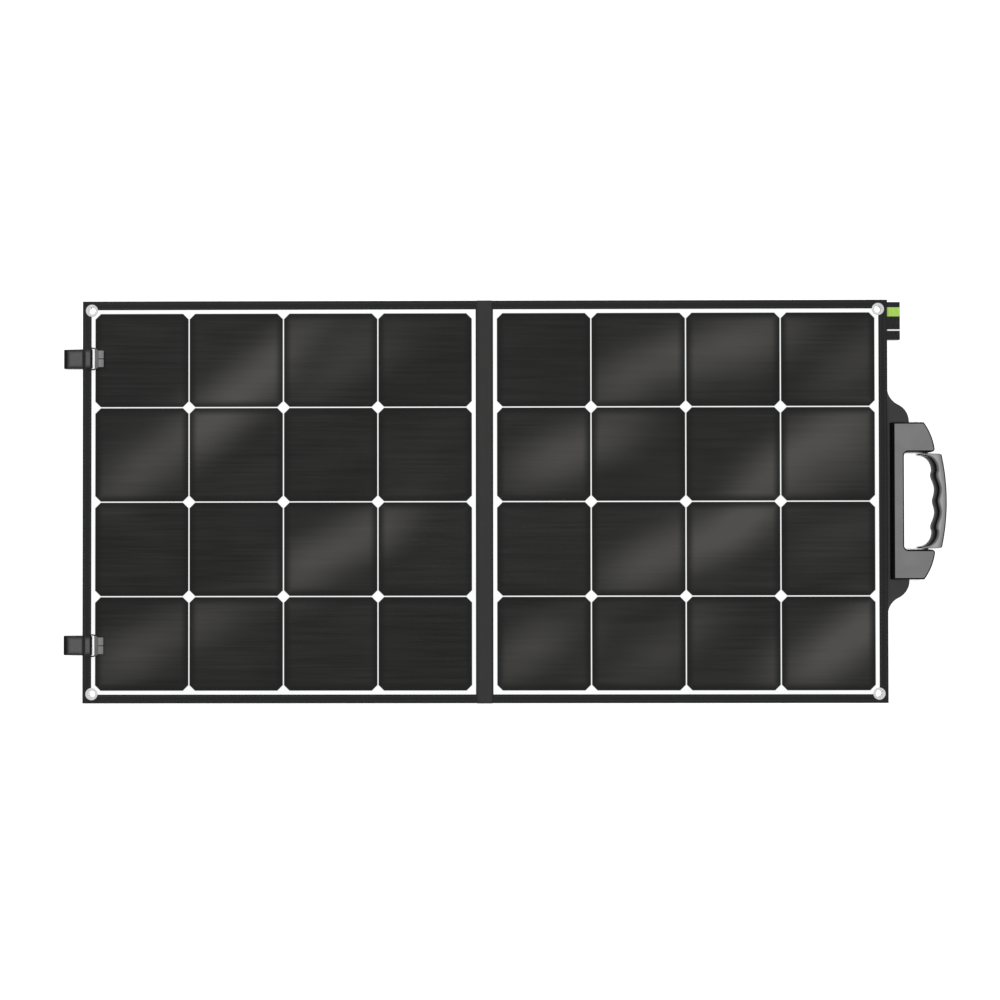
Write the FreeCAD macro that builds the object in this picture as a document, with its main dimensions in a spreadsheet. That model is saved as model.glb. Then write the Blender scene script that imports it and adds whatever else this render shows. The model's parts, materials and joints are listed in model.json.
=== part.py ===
import FreeCAD, Part
import Sketcher
import math
import os
import re

# A two-fold camping solar panel, lying open on its back with its cells up.
# +X runs from the strap end to the handle end, +Y is the upper edge and +Z is up.
# The origin is under the middle of the whole, on the surface that it lies on.

SIZES = {
    # the folding line
    "spine_x": -27.0,  # middle of the spine
    "crease": 10.25,  # from the middle of the spine to each crease
    "crease_level": 6.4,
    "fold_gap": 0.3,
    "spine_skin": 0.6,
    "spine_front": 1.1,
    # one half
    "laminate": 518.0,  # square
    "wall": 1.5,  # fabric turned in beside the spine
    "hem_end": 12.25,
    "hem_side": 12.0,
    "hem_round": 2.0,
    "back_level": 4.4,
    "cover_thick": 1.0,
    "board_thick": 4.0,
    "laminate_thick": 2.6,
    "lip": 0.4,
    # cells, four by four on each half
    "cell": 125.0,
    "cell_pitch": 127.3,
    "cell_corner": 7.2,
    "cell_thick": 0.3,
    # eyelets
    "eyelet_hole": 5.0,
    "eyelet_wall": 0.6,
    "eyelet_ring": 8.25,
    "eyelet_inset": 12.7,
    "eyelet_flange": 0.8,
    "eyelet_washer": 0.7,
    # kickstands
    "stand_width": 200.0,
    "stand_length": 305.0,
    "stand_thick": 4.0,
    "stand_corner": 14.0,
    "stand_hinge_y": 95.0,
    "stand_centre": 270.75,
    "hinge_level": 2.1,
    "hinge_offset": 65.0,
    "hinge_barrel": 1.9,
    "hinge_pin": 0.9,
    "hinge_play": 0.07,
    "base_width": 18.0,
    "base_reach": 14.0,
    "base_thick": 1.0,
    "leaf_ear": 10.0,
    "leaf_gap": 0.4,
    "leaf_reach": 16.0,
    "leaf_clear": 2.6,
    "leaf_thick": 1.4,
    # handle
    "tongue_fall": 46.0,
    "tongue_reach": 29.1,
    "tongue_end": 107.0,
    "tongue_thick": 2.0,
    "tongue_level": 7.4,
    "bracket_start": 545.0,
    "bracket_spine": 14.7,
    "bracket_half": 104.8,
    "bracket_open": 65.2,
    "bracket_shoulder": 586.3,
    "bracket_tip": 600.7,
    "bracket_corner": 5.4,
    "bracket_low": 0.6,
    "bracket_split": 9.4,
    "bracket_top": 32.7,
    "bracket_nose": 4.0,
    "bracket_round": 2.5,
    "bracket_belly_x": 0.66,  # where the outer curve bulges, as parts of its rise
    "bracket_belly_y": 0.57,
    "screw_head": 3.2,
    "screw_shank": 1.6,
    "screw_head_deep": 1.8,
    "screw_long": 20.0,
    "screw_y": 86.0,
    "screw_near": 552.5,
    "screw_far": 579.0,
    "grip_pin_x": 592.7,
    "grip_pin_level": 16.65,
    "grip_pin_size": 2.5,
    "grip_pin_inner": 59.5,
    "grip_pin_long": 21.0,
    "grip_play": 0.06,
    "grip_droop": 18.0,
    "grip_deep": 19.0,
    "grip_half": 63.2,
    "grip_crown": 26.3,
    "grip_shoulder": 19.4,
    "grip_round": 3.0,
    "grip_hook": 20.0,
    "grip_hook_x": -7.0,
    "grip_hook_y": 41.5,
    "grip_toe": 2.0,
    "grip_corner": 3.6,
    "pad_deep": 9.8,
    "pad_low": -0.3,
    "pad_thick": 1.0,
    "pad_proud": 0.4,
    "pad_end": 84.0,  # degrees round the hook
    # side label
    "label_long": 51.0,
    "label_out": 17.5,
    "label_thick": 1.2,
    "label_level": 7.8,
    "label_start": 217.0,
    # closing straps
    "strap_y": 193.0,
    "webbing": 26.0,
    "webbing_thick": 1.5,
    "anchor_level": 7.65,
    "anchor_out": 0.3,
    "swing_out": 1.2,
    "swing_clear": 0.7,
    "turn_out": 25.5,
    "turn_level": 9.3,
    "turn_clear": 0.15,
    "bar_in": 11.0,
    "bar_level": 15.9,
    "bar_size": 1.5,
    "bar_play": 0.08,
    "frame_half": 15.2,
    "frame_side": 1.8,
    "frame_thick": 3.0,
    "frame_back": 2.9,
    "frame_front": 6.4,
    "frame_body": 5.3,
    "frame_step": 0.5,  # the bar, the body and the prongs are this much smaller all round
    "prong_long": 6.8,
    "prong_half": 11.2,
    "prong_split": 0.8,
    # sockets for the tongues, on the back
    "socket_start": 477.0,
    "socket_long": 26.0,
    "socket_wide": 34.0,
    "socket_level": 0.5,
    "slot_wide": 23.4,
    "slot_deep": 12.0,
    "slot_level": 1.5,
    "slot_high": 2.2,
    "button_long": 8.5,
    "button_wide": 11.5,
    "button_flange": 1.0,
    "button_play": 0.25,
    "button_in": 3.0,
    "flange_thick": 0.6,
    # pocket on the back
    "pocket_x": 270.75,
    "pocket_long": 300.0,
    "pocket_y": 118.0,
    "pocket_wide": 130.0,
    "pocket_rim": 6.0,
    "pocket_level": 1.8,
    "pocket_skin": 0.8,
    "zip_y": 233.0,
    "zip_long": 272.0,
    "zip_window": 9.0,
    "tape_lap": 3.0,
    "tape_thick": 0.6,
    "coil_wide": 3.6,
    "coil_high": 0.2,
    "slider_long": 10.0,
    "slider_wide": 7.6,
    "slider_level": 0.05,
    "slider_high": 1.4,
    "slider_play": 0.4,
    "slider_stop": 4.0,
    "slider_ear": 2.2,
    "slider_cheek": 1.0,
    "puller_long": 22.0,
    "puller_wide": 6.0,
    "puller_thick": 0.9,
    "puller_neck": 4.0,
    "puller_pin": 0.4,
    "puller_play": 0.05,
    "puller_eye": 0.65,
    # junction box let into the back
    "box_y": 176.0,
    "box_long": 90.0,
    "box_wide": 56.0,
    "box_wall": 2.0,
    "box_floor": 1.4,
    "box_lid": 1.2,
    "diode_long": 14.0,
    "diode_wide": 8.0,
    "diode_high": 2.6,
    "outlet_ring": 5.0,
    "outlet_hole": 2.2,
    "outlet_in": 12.0,
    "diode_near": 13.5,
    "diode_pitch": 24.3,
    # flat leads across the spine
    "lead_wide": 12.0,
    "lead_thick": 0.5,
    "lead_y": 40.0,
    # cutting tools
    "through": 30.0,  # long enough to pass right through the panel
    "beyond": 2.0,  # how far a tool runs past a face that it opens
}

doc = FreeCAD.newDocument("solar_panel")
sheet = doc.addObject("Spreadsheet::Sheet", "Sizes")
for row, (alias, value) in enumerate(SIZES.items(), start=1):
    sheet.set(f"A{row}", alias)
    sheet.set(f"B{row}", str(value))
    sheet.setAlias(f"B{row}", alias)
doc.recompute()

nodes = []
FUNCTIONS = {"sin", "cos", "tan", "atan", "sqrt", "deg"}
HALF_LENGTH = "(wall + laminate + hem_end)"
HALF_WIDTH = "(laminate / 2 + hem_side)"
EDGE = f"(crease + {HALF_LENGTH})"
BODY_LEVEL = "(back_level + cover_thick)"
FRONT = f"({BODY_LEVEL} + board_thick + laminate_thick)"


def size(alias):
    """The value of one cell of the sheet."""
    return float(sheet.get(alias))


def value_of(text):
    """The value of a formula in the sheet's names."""
    filled = doc.addObject("Part::Box", "Gauge")
    filled.setExpression("Placement.Base.x", cells(text))
    doc.recompute([filled])
    found = filled.Placement.Base.x
    doc.removeObject(filled.Name)
    return found


def cells(text):
    """A formula with each name turned into a reference to its cell."""
    return re.sub(
        r"[a-z][a-z_]*[a-z]",
        lambda word: word.group() if word.group() in FUNCTIONS else "Sizes." + word.group(),
        text,
    )


def drive(thing, **formulas):
    """Bind properties to formulas; x, y and z stand for the position."""
    for key, text in formulas.items():
        path = f"Placement.Base.{key}" if key in ("x", "y", "z") else key
        thing.setExpression(path, cells(text))
    return thing


def keep(thing, label):
    """Name a finished sub-part, so that it is written to its own file."""
    thing.Label = label
    nodes.append(thing)
    return thing


def box(x, y, z, length, width, height):
    solid = doc.addObject("Part::Box", "Block")
    return drive(solid, Length=length, Width=width, Height=height, x=x, y=y, z=z)


def rod(x, y, z, radius, length, along="z"):
    """A cylinder that starts at a point and runs along an axis."""
    solid = doc.addObject("Part::Cylinder", "Rod")
    turns = {"z": (0, 0, 0, 1), "y": (-math.sqrt(0.5), 0, 0, math.sqrt(0.5))}
    solid.Placement = FreeCAD.Placement(FreeCAD.Vector(), FreeCAD.Rotation(*turns[along]))
    return drive(solid, Radius=radius, Height=length, x=x, y=y, z=z)


def fuse(*things):
    joined = doc.addObject("Part::MultiFuse", "Joined")
    joined.Shapes = list(things)
    return joined


def group(*things):
    together = doc.addObject("Part::Compound", "Together")
    together.Links = list(things)
    return together


def cut(base, *tools):
    removed = doc.addObject("Part::Cut", "Cut")
    removed.Base = base
    removed.Tool = tools[0] if len(tools) == 1 else group(*tools)
    return removed


def rounded(base, radius, chosen):
    """Round the edges of base that the function chosen accepts."""
    doc.recompute()
    softened = doc.addObject("Part::Fillet", "Rounded")
    softened.Base = base
    picks = [n for n, edge in enumerate(base.Shape.Edges, start=1) if chosen(edge)]
    softened.Edges = [(n, size(radius), size(radius)) for n in picks]
    return softened


def across(side, start, length):
    """Low X of a piece that starts at a distance from the middle of the spine."""
    return f"spine_x + {start}" if side > 0 else f"spine_x - {start} - {length}"


def at(side, start):
    return f"spine_x + {side} * {start}"


def rectangle(sketch, low_x, high_x, low_y, high_y):
    """A rectangle whose four sides are held by formulas."""
    first = sketch.GeometryCount
    corners = [(0, 0), (1, 0), (1, 1), (0, 1)]
    for n in range(4):
        start = FreeCAD.Vector(*corners[n], 0)
        end = FreeCAD.Vector(*corners[(n + 1) % 4], 0)
        sketch.addGeometry(Part.LineSegment(start, end), False)
    constraint = Sketcher.Constraint
    for n in range(4):
        sketch.addConstraint(constraint("Coincident", first + n, 2, first + (n + 1) % 4, 1))
        sketch.addConstraint(constraint("Vertical" if n % 2 else "Horizontal", first + n))
    held = [
        ("DistanceX", first, 1, low_x),
        ("DistanceX", first, 2, high_x),
        ("DistanceY", first, 1, low_y),
        ("DistanceY", first + 2, 1, high_y),
    ]
    for kind, line, end, formula in held:
        place = sketch.addConstraint(constraint(kind, -1, 1, line, end, value_of(formula)))
        sketch.setExpression(f"Constraints[{place}]", cells(formula))


def new_body():
    """A body with a sketch on its own XY plane."""
    body = doc.addObject("PartDesign::Body", "Body")
    sketch = body.newObject("Sketcher::SketchObject", "Outline")
    planes = body.Origin.OriginFeatures
    sketch.AttachmentSupport = ([p for p in planes if p.Role == "XY_Plane"][0], "")
    sketch.MapMode = "FlatFace"
    return body, sketch


def pad(body, sketch, thick):
    solid = body.newObject("PartDesign::Pad", "Pad")
    solid.Profile = sketch
    solid.setExpression("Length", cells(thick))
    body.Tip = solid
    sketch.Visibility = False
    return body


def drawn_plate(curves, level, thick):
    """A plate whose outline is a closed chain of lines and arcs."""
    body, sketch = new_body()
    sketch.addGeometry(curves, False)
    pad(body, sketch, thick)
    return drive(body, z=level)


def line(start, end):
    return Part.LineSegment(FreeCAD.Vector(*start, 0), FreeCAD.Vector(*end, 0))


def bend(start, middle, end):
    """An arc through three points."""
    return Part.Arc(*(FreeCAD.Vector(*p, 0) for p in (start, middle, end)))


def eyelet_places(side):
    inset = f"({EDGE} - eyelet_inset)"
    drop = f"({HALF_WIDTH} - eyelet_inset)"
    return {"upper": (at(side, inset), drop), "lower": (at(side, inset), f"-{drop}")}


def eyelet_bores(side):
    """Clear holes for the two eyelet barrels of one half."""
    return [rod(x, y, "0", "eyelet_hole + eyelet_wall", "through") for x, y in eyelet_places(side).values()]


# ---- the two halves ----


def make_cells(side):
    """Sixteen square cells with cut corners, let into the front of the laminate."""
    edge, corner = size("cell") / 2, size("cell_corner")
    middle = value_of(at(side, "(crease + wall + laminate / 2)"))
    level = value_of(f"{FRONT} - cell_thick")
    outline = [(edge - corner, -edge), (edge, corner - edge), (edge, edge - corner), (edge - corner, edge)]
    outline += [(-x, -y) for x, y in outline]
    made = []
    for column in range(4):
        for row in range(4):
            x = middle + (column - 1.5) * size("cell_pitch")
            y = (row - 1.5) * size("cell_pitch")
            points = [FreeCAD.Vector(x + dx, y + dy, level) for dx, dy in outline + outline[:1]]
            face = Part.Face(Part.makePolygon(points))
            made.append(face.extrude(FreeCAD.Vector(0, 0, size("cell_thick"))))
    together = doc.addObject("Part::Feature", "Cells")
    together.Shape = Part.makeCompound(made)
    return together


def make_border(side, slots):
    """The fabric border: a ring around the laminate, rounded along its three free edges."""
    body, sketch = new_body()
    start = across(side, "crease", HALF_LENGTH)
    inner = across(side, "(crease + wall)", "laminate")
    rectangle(sketch, start, f"{start} + {HALF_LENGTH}", f"-{HALF_WIDTH}", HALF_WIDTH)
    rectangle(sketch, inner, f"{inner} + laminate", "-laminate / 2", "laminate / 2")
    pad(body, sketch, f"{FRONT} + lip - {BODY_LEVEL}")
    drive(body, z=BODY_LEVEL)
    top = value_of(f"{FRONT} + lip")
    outer_x = value_of(at(side, EDGE))
    outer_y = value_of(HALF_WIDTH)

    def free_edge(edge):
        ends = [v.Point for v in edge.Vertexes]
        high = all(abs(p.z - top) < 0.01 for p in ends)
        outside = all(abs(p.x - outer_x) < 0.01 for p in ends)
        along = abs(ends[0].y - ends[1].y) < 0.01 and abs(abs(ends[0].y) - outer_y) < 0.01
        return high and (outside or along)

    soft = rounded(body, "hem_round", free_edge)
    return cut(soft, *eyelet_bores(side), *slots)


def make_eyelet(x, y):
    """A flange on the front with a barrel through the panel."""
    top = f"({FRONT} + lip)"
    washer_level = "back_level - eyelet_washer"
    barrel = rod(x, y, washer_level, "eyelet_hole + eyelet_wall", f"{top} - ({washer_level})")
    flange = rod(x, y, top, "eyelet_ring", "eyelet_flange")
    bore = rod(x, y, "0", "eyelet_hole", "through")
    return cut(fuse(barrel, flange), bore)


def make_washer(x, y):
    ring = rod(x, y, "back_level - eyelet_washer", "eyelet_ring", "eyelet_washer")
    return cut(ring, rod(x, y, "0", "eyelet_hole + eyelet_wall", "through"))


def make_half(side, name, openings, slots):
    """Back cover, stiffener, laminate, cells, border and eyelets of one half."""
    start = across(side, "crease", HALF_LENGTH)
    inner = across(side, "(crease + wall)", "laminate")
    cover = box(start, f"-{HALF_WIDTH}", "back_level", HALF_LENGTH, f"2 * {HALF_WIDTH}", "cover_thick")
    keep(cut(cover, *eyelet_bores(side), *openings), f"{name}_back_cover")
    board = box(inner, "-laminate / 2", BODY_LEVEL, "laminate", "laminate", "board_thick")
    keep(cut(board, *eyelet_bores(side), *openings), f"{name}_stiffener")
    cells_of_half = keep(make_cells(side), f"{name}_cells")
    sheet_level = f"{BODY_LEVEL} + board_thick"
    laminate = box(inner, "-laminate / 2", sheet_level, "laminate", "laminate", "laminate_thick")
    keep(cut(laminate, cells_of_half, *eyelet_bores(side)), f"{name}_laminate")
    keep(make_border(side, slots), f"{name}_border")
    places = eyelet_places(side)
    for level, (x, y) in places.items():
        keep(make_eyelet(x, y), f"{name}_{level}_eyelet")
    keep(group(*(make_washer(x, y) for x, y in places.values())), f"{name}_eyelet_washers")


# ---- junction box, let into the back of the handle-side half ----

box_x = f"({at(1, 'pocket_x')} - box_long / 2)"
box_low = "(box_y - box_wide / 2)"
BOX_LEVEL = "(back_level - box_lid)"


def box_hole():
    return box(box_x, box_low, "back_level", "box_long", "box_wide", "cover_thick + board_thick")


def make_junction_box():
    deep = "(cover_thick + board_thick)"
    shell = box(box_x, box_low, "back_level", "box_long", "box_wide", deep)
    inside = box(
        f"{box_x} + box_wall",
        f"{box_low} + box_wall",
        "back_level",
        "box_long - 2 * box_wall",
        "box_wide - 2 * box_wall",
        f"{deep} - box_floor",
    )
    keep(cut(shell, inside), "junction_box_tray")
    outlet = (f"{box_x} + box_long - outlet_in", "box_y", BOX_LEVEL)
    lid = box(box_x, box_low, BOX_LEVEL, "box_long", "box_wide", "box_lid")
    keep(cut(lid, rod(*outlet, "outlet_ring", "box_lid")), "junction_box_lid")
    ring = rod(*outlet, "outlet_ring", "box_lid")
    keep(cut(ring, rod(*outlet, "outlet_hole", "box_lid")), "outlet_grommet")
    diodes = [
        box(
            f"{box_x} + diode_near + {place} * diode_pitch",
            "box_y - diode_wide / 2",
            f"back_level + {deep} - box_floor - diode_high",
            "diode_long",
            "diode_wide",
            "diode_high",
        )
        for place in (0, 1)
    ]
    keep(group(*diodes), "junction_box_diodes")


# ---- pocket with a zip, on the back of the handle-side half ----

pocket_low_x = f"({at(1, 'pocket_x')} - pocket_long / 2)"
zip_low_x = f"({at(1, 'pocket_x')} - zip_long / 2)"
RIM_LEVEL = "(pocket_level + pocket_skin)"


def make_pocket():
    rim, outline = new_body()
    high_x = f"{pocket_low_x} + pocket_long"
    high_y = "pocket_y + pocket_wide"
    rectangle(outline, pocket_low_x, high_x, "pocket_y", high_y)
    rectangle(
        outline,
        f"{pocket_low_x} + pocket_rim",
        f"{high_x} - pocket_rim",
        "pocket_y + pocket_rim",
        f"{high_y} - pocket_rim",
    )
    pad(rim, outline, f"back_level - {RIM_LEVEL}")
    keep(drive(rim, z=RIM_LEVEL), "pocket_rim")

    skin, shape = new_body()
    rectangle(shape, pocket_low_x, high_x, "pocket_y", high_y)
    rectangle(
        shape,
        zip_low_x,
        f"{zip_low_x} + zip_long",
        "zip_y - zip_window / 2",
        "zip_y + zip_window / 2",
    )
    pad(skin, shape, "pocket_skin")
    keep(drive(skin, z="pocket_level"), "pocket_panel")

    tape = box(
        f"{zip_low_x} - tape_lap",
        "zip_y - zip_window / 2 - tape_lap",
        RIM_LEVEL,
        "zip_long + 2 * tape_lap",
        "zip_window + 2 * tape_lap",
        "tape_thick",
    )
    keep(tape, "zip_tape")
    coil = box(
        zip_low_x,
        "zip_y - coil_wide / 2",
        f"{RIM_LEVEL} - pocket_skin - coil_high / 2",
        "zip_long",
        "coil_wide",
        "pocket_skin + coil_high / 2",
    )
    keep(coil, "zip_coil")


def make_slider():
    """The slider straddles the coil; its pull hangs from a pin at its end."""
    low_x = f"({zip_low_x} + zip_long - slider_long - slider_stop)"
    block = box(low_x, "zip_y - slider_wide / 2", "slider_level", "slider_long", "slider_wide", "slider_high")
    channel = box(
        low_x,
        "zip_y - coil_wide / 2 - slider_play",
        "pocket_level - coil_high / 2 - slider_play",
        "slider_long",
        "coil_wide + 2 * slider_play",
        "slider_high",
    )
    pin_x = f"({low_x} - slider_ear + slider_cheek)"
    pin_level = "slider_level + puller_eye"
    pin = rod(pin_x, "zip_y - slider_wide / 2", pin_level, "puller_pin", "slider_wide", "y")
    ear_x = f"{pin_x} - puller_pin"
    ears = [
        box(ear_x, f"zip_y {edge}", "slider_level", "slider_ear", "slider_cheek", "slider_high")
        for edge in ("- slider_wide / 2", "+ slider_wide / 2 - slider_cheek")
    ]
    keep(fuse(cut(block, channel), pin, *ears), "zip_slider")
    eye = rod(pin_x, "zip_y - puller_neck / 2", pin_level, "puller_eye", "puller_neck", "y")
    strip = box(
        f"{pin_x} - puller_long",
        "zip_y - puller_neck / 2",
        f"{pin_level} - puller_thick / 2",
        "puller_long",
        "puller_neck",
        "puller_thick",
    )
    paddle = box(
        f"{pin_x} - puller_long",
        "zip_y - puller_wide / 2",
        f"{pin_level} - puller_thick / 2",
        "puller_long * 0.7",
        "puller_wide",
        "puller_thick",
    )
    bore = rod(pin_x, "zip_y - puller_neck", pin_level, "puller_pin + puller_play", "2 * puller_neck", "y")
    keep(cut(fuse(eye, strip, paddle), bore), "zip_puller")


# ---- kickstands ----


def hinge_starts(side):
    centre = at(side, "stand_centre")
    return [f"({centre} + {way} * hinge_offset)" for way in (-1, 1)]


def make_hinge_base(x):
    """The middle knuckle of a hinge, on a plate under the back cover."""
    low = f"{x} - base_width / 2"
    plate = box(low, "stand_hinge_y", "back_level - base_thick", "base_width", "base_reach", "base_thick")
    web = box(low, "stand_hinge_y", "hinge_level", "base_width", "hinge_barrel", "back_level - hinge_level")
    knuckle = rod(low, "stand_hinge_y", "hinge_level", "hinge_barrel", "base_width")
    lay_along_x(knuckle)
    bore = lay_along_x(rod(low, "stand_hinge_y", "hinge_level", "hinge_pin", "base_width"))
    return cut(fuse(plate, web, knuckle), bore)


def lay_along_x(thing):
    """Turn a rod from Z to X about its start."""
    turn = FreeCAD.Rotation(FreeCAD.Vector(0, 1, 0), 90)
    thing.Placement = FreeCAD.Placement(thing.Placement.Base, turn)
    return thing


HINGE_LONG = "(base_width + 2 * leaf_gap + 2 * leaf_ear)"


def make_hinge_leaf(x):
    """The two outer knuckles of a hinge, on a plate that the stand holds."""
    low = f"({x} - {HINGE_LONG} / 2)"
    plate = box(
        low,
        "stand_hinge_y - leaf_reach",
        "hinge_level - leaf_thick / 2",
        HINGE_LONG,
        "leaf_reach - leaf_clear",
        "leaf_thick",
    )
    pieces = [plate]
    for start in (low, f"({low} + {HINGE_LONG} - leaf_ear)"):
        knuckle = rod(start, "stand_hinge_y", "hinge_level", "hinge_barrel", "leaf_ear")
        arm = box(
            start,
            "stand_hinge_y - leaf_clear",
            "hinge_level - leaf_thick / 2",
            "leaf_ear",
            "leaf_clear",
            "leaf_thick",
        )
        pieces += [lay_along_x(knuckle), arm]
    bore = rod(low, "stand_hinge_y", "hinge_level", "hinge_pin + hinge_play", HINGE_LONG)
    return cut(fuse(*pieces), lay_along_x(bore))


def make_stand(side, name):
    starts = hinge_starts(side)
    keep(group(*(make_hinge_base(x) for x in starts)), f"{name}_hinge_bases")
    pins = []
    for x in starts:
        pin = rod(f"{x} - {HINGE_LONG} / 2", "stand_hinge_y", "hinge_level", "hinge_pin", HINGE_LONG)
        pins.append(lay_along_x(pin))
    keep(group(*pins), f"{name}_hinge_pins")
    leaves = keep(group(*(make_hinge_leaf(x) for x in starts)), f"{name}_stand_leaves")
    board = box(
        f"{at(side, 'stand_centre')} - stand_width / 2",
        "stand_hinge_y - leaf_clear - stand_length",
        "0",
        "stand_width",
        "stand_length",
        "stand_thick",
    )
    low_y = value_of("stand_hinge_y - leaf_clear - stand_length")

    def free_corner(edge):
        ends = [v.Point for v in edge.Vertexes]
        upright = abs(ends[0].x - ends[1].x) < 0.01 and abs(ends[0].y - ends[1].y) < 0.01
        return upright and abs(ends[0].y - low_y) < 0.01

    soft = rounded(board, "stand_corner", free_corner)
    keep(cut(soft, leaves), f"{name}_stand")


# ---- spine ----


def make_spine():
    """Two layers of fabric between the creases, with two flat leads between them."""
    start = "spine_x - crease + fold_gap"
    length = "2 * crease - 2 * fold_gap"
    skin_top = "back_level + spine_skin"
    leads = [
        box(start, f"{way} * lead_y - lead_wide / 2", skin_top, length, "lead_wide", "lead_thick")
        for way in (-1, 1)
    ]
    leads_kept = keep(group(*leads), "spine_leads")
    back = box(start, f"-{HALF_WIDTH}", "back_level", length, f"2 * {HALF_WIDTH}", "spine_skin")
    keep(back, "spine_back")
    front = box(start, f"-{HALF_WIDTH}", skin_top, length, f"2 * {HALF_WIDTH}", "spine_front")
    keep(cut(front, leads_kept), "spine_front")


# ---- handle ----


def screw_places():
    return [(at(1, x), f"{way} * screw_y") for x in ("screw_near", "screw_far") for way in (-1, 1)]


def screw_holes():
    heads = [rod(x, y, "0", "screw_head", "bracket_low + screw_head_deep") for x, y in screw_places()]
    shanks = [rod(x, y, "0", "screw_shank", "bracket_low + screw_long") for x, y in screw_places()]
    return heads + shanks


def make_tongue():
    """The stiff fabric tongue under the bracket, swept out of the edge by two arcs on each side."""
    edge = value_of(at(1, EDGE))
    reach, fall, end = size("tongue_reach"), size("tongue_fall"), size("tongue_end")
    turn = 2 * math.atan(reach / fall)
    radius = fall / (2 * math.sin(turn))
    curves = []
    joints = {}
    for way in (1, -1):
        wide = (edge, way * (end + fall))
        half = (edge + reach / 2, way * (end + fall / 2))
        tip = (edge + reach, way * end)
        lean = (radius * (1 - math.cos(turn / 2)), radius * math.sin(turn / 2))
        near = (edge + lean[0], way * (end + fall - lean[1]))
        far = (edge + reach - lean[0], way * (end + lean[1]))
        curves += [bend(wide, near, half), bend(half, far, tip)]
        joints[way] = (wide, tip)
    curves.append(line(joints[1][1], joints[-1][1]))
    curves.append(line(joints[-1][0], joints[1][0]))
    plate = drawn_plate(curves, "tongue_level", "tongue_thick")
    finger_gap = box(
        f"{at(1, '(bracket_start + bracket_spine)')} - beyond",
        "-bracket_open - 2 * beyond",
        "0",
        "bracket_tip - bracket_start",
        "2 * bracket_open + 4 * beyond",
        "bracket_top",
    )
    return keep(cut(plate, finger_gap, *screw_holes()), "handle_tongue")


def bracket_outline():
    """A C with curved outer ends, open towards the grip."""
    start = value_of(at(1, "bracket_start"))
    inner = start + size("bracket_spine")
    shoulder = value_of(at(1, "bracket_shoulder"))
    tip = value_of(at(1, "bracket_tip"))
    half, gap, corner = size("bracket_half"), size("bracket_open"), size("bracket_corner")
    step = corner * (1 - math.sqrt(0.5))
    nose = size("bracket_nose")
    cheek = nose * (1 - math.sqrt(0.5))
    belly = (
        shoulder + (tip - shoulder) * size("bracket_belly_x"),
        gap + (half - gap) * size("bracket_belly_y"),
    )
    curves = [line((start, -half), (start, half)), line((inner, corner - gap), (inner, gap - corner))]
    for way in (1, -1):
        curves += [
            line((start, way * half), (shoulder, way * half)),
            bend((shoulder, way * half), (belly[0], way * belly[1]), (tip, way * (gap + nose))),
            bend((tip, way * (gap + nose)), (tip - cheek, way * (gap + cheek)), (tip - nose, way * gap)),
            line((tip - nose, way * gap), (inner + corner, way * gap)),
            bend(
                (inner + corner, way * gap),
                (inner + step, way * (gap - step)),
                (inner, way * (gap - corner)),
            ),
        ]
    return curves


def make_bracket(tongue):
    """A deep upper shell and a shallow lower one, screwed together through the tongue."""
    upper = drawn_plate(bracket_outline(), "bracket_split", "bracket_top - bracket_split")
    top = size("bracket_top")

    def top_edge(edge):
        return all(abs(v.Point.z - top) < 0.01 for v in edge.Vertexes)

    soft = rounded(upper, "bracket_round", top_edge)
    pins = []
    for way, name in ((1, "upper"), (-1, "lower")):
        start = "grip_pin_inner" if way > 0 else "-grip_pin_inner - grip_pin_long"
        pin = rod(at(1, "grip_pin_x"), start, "grip_pin_level", "grip_pin_size", "grip_pin_long", "y")
        pins.append(keep(pin, f"{name}_grip_pin"))
    keep(cut(soft, *screw_holes(), *pins), "bracket_upper_shell")
    lower = drawn_plate(bracket_outline(), "bracket_low", "bracket_split - bracket_low")
    keep(cut(lower, tongue, *screw_holes()), "bracket_lower_shell")
    screws = [
        fuse(
            rod(x, y, "bracket_low", "screw_head", "screw_head_deep"),
            rod(x, y, "bracket_low", "screw_shank", "screw_long"),
        )
        for x, y in screw_places()
    ]
    keep(group(*screws), "bracket_screws")


def finger_wave(offset):
    """The finger side of the grip: a hook at each end and three ridges between four hollows."""
    ridges = [(12.9, 40), (11.5, 35), (14.5, 25.5), (17, 15.5), (15.6, 7), (14, 0)]
    points = ridges + [(x, -y) for x, y in reversed(ridges[:-1])]
    curve = Part.BSplineCurve()
    curve.interpolate([FreeCAD.Vector(x + offset, y, 0) for x, y in points])
    return curve


def finger_side(offset):
    """The wave and the hook at each end of it, moved into the grip by an offset; and the upper end."""
    wave = finger_wave(offset)
    hook_x, hook_y = size("grip_hook_x"), size("grip_hook_y")
    start = (wave.StartPoint.x, wave.StartPoint.y)
    end_x = hook_x + size("grip_hook") * math.cos(math.radians(size("pad_end")))
    round_hook = size("grip_hook") + min(offset, size("pad_proud"))
    end_y = hook_y + math.sqrt(round_hook**2 - (end_x - hook_x) ** 2)
    turn = (math.atan2(start[1] - hook_y, start[0] - hook_x) + math.atan2(end_y - hook_y, end_x - hook_x)) / 2
    middle_hook = size("grip_hook") + offset
    half_way = (hook_x + middle_hook * math.cos(turn), hook_y + middle_hook * math.sin(turn))
    curves = [wave]
    for way in (1, -1):
        curves.append(bend(*[(x, way * y) for x, y in (start, half_way, (end_x, end_y))]))
    return curves, (end_x, end_y)


def pad_slab(curves):
    """A slab as deep as the pad, on the upper part of the finger side."""
    edges = Part.__sortEdges__([curve.toShape() for curve in curves])
    slab = Part.Face(Part.Wire(edges)).extrude(FreeCAD.Vector(0, 0, size("pad_deep")))
    slab.translate(FreeCAD.Vector(0, 0, size("pad_low")))
    return slab


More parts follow.
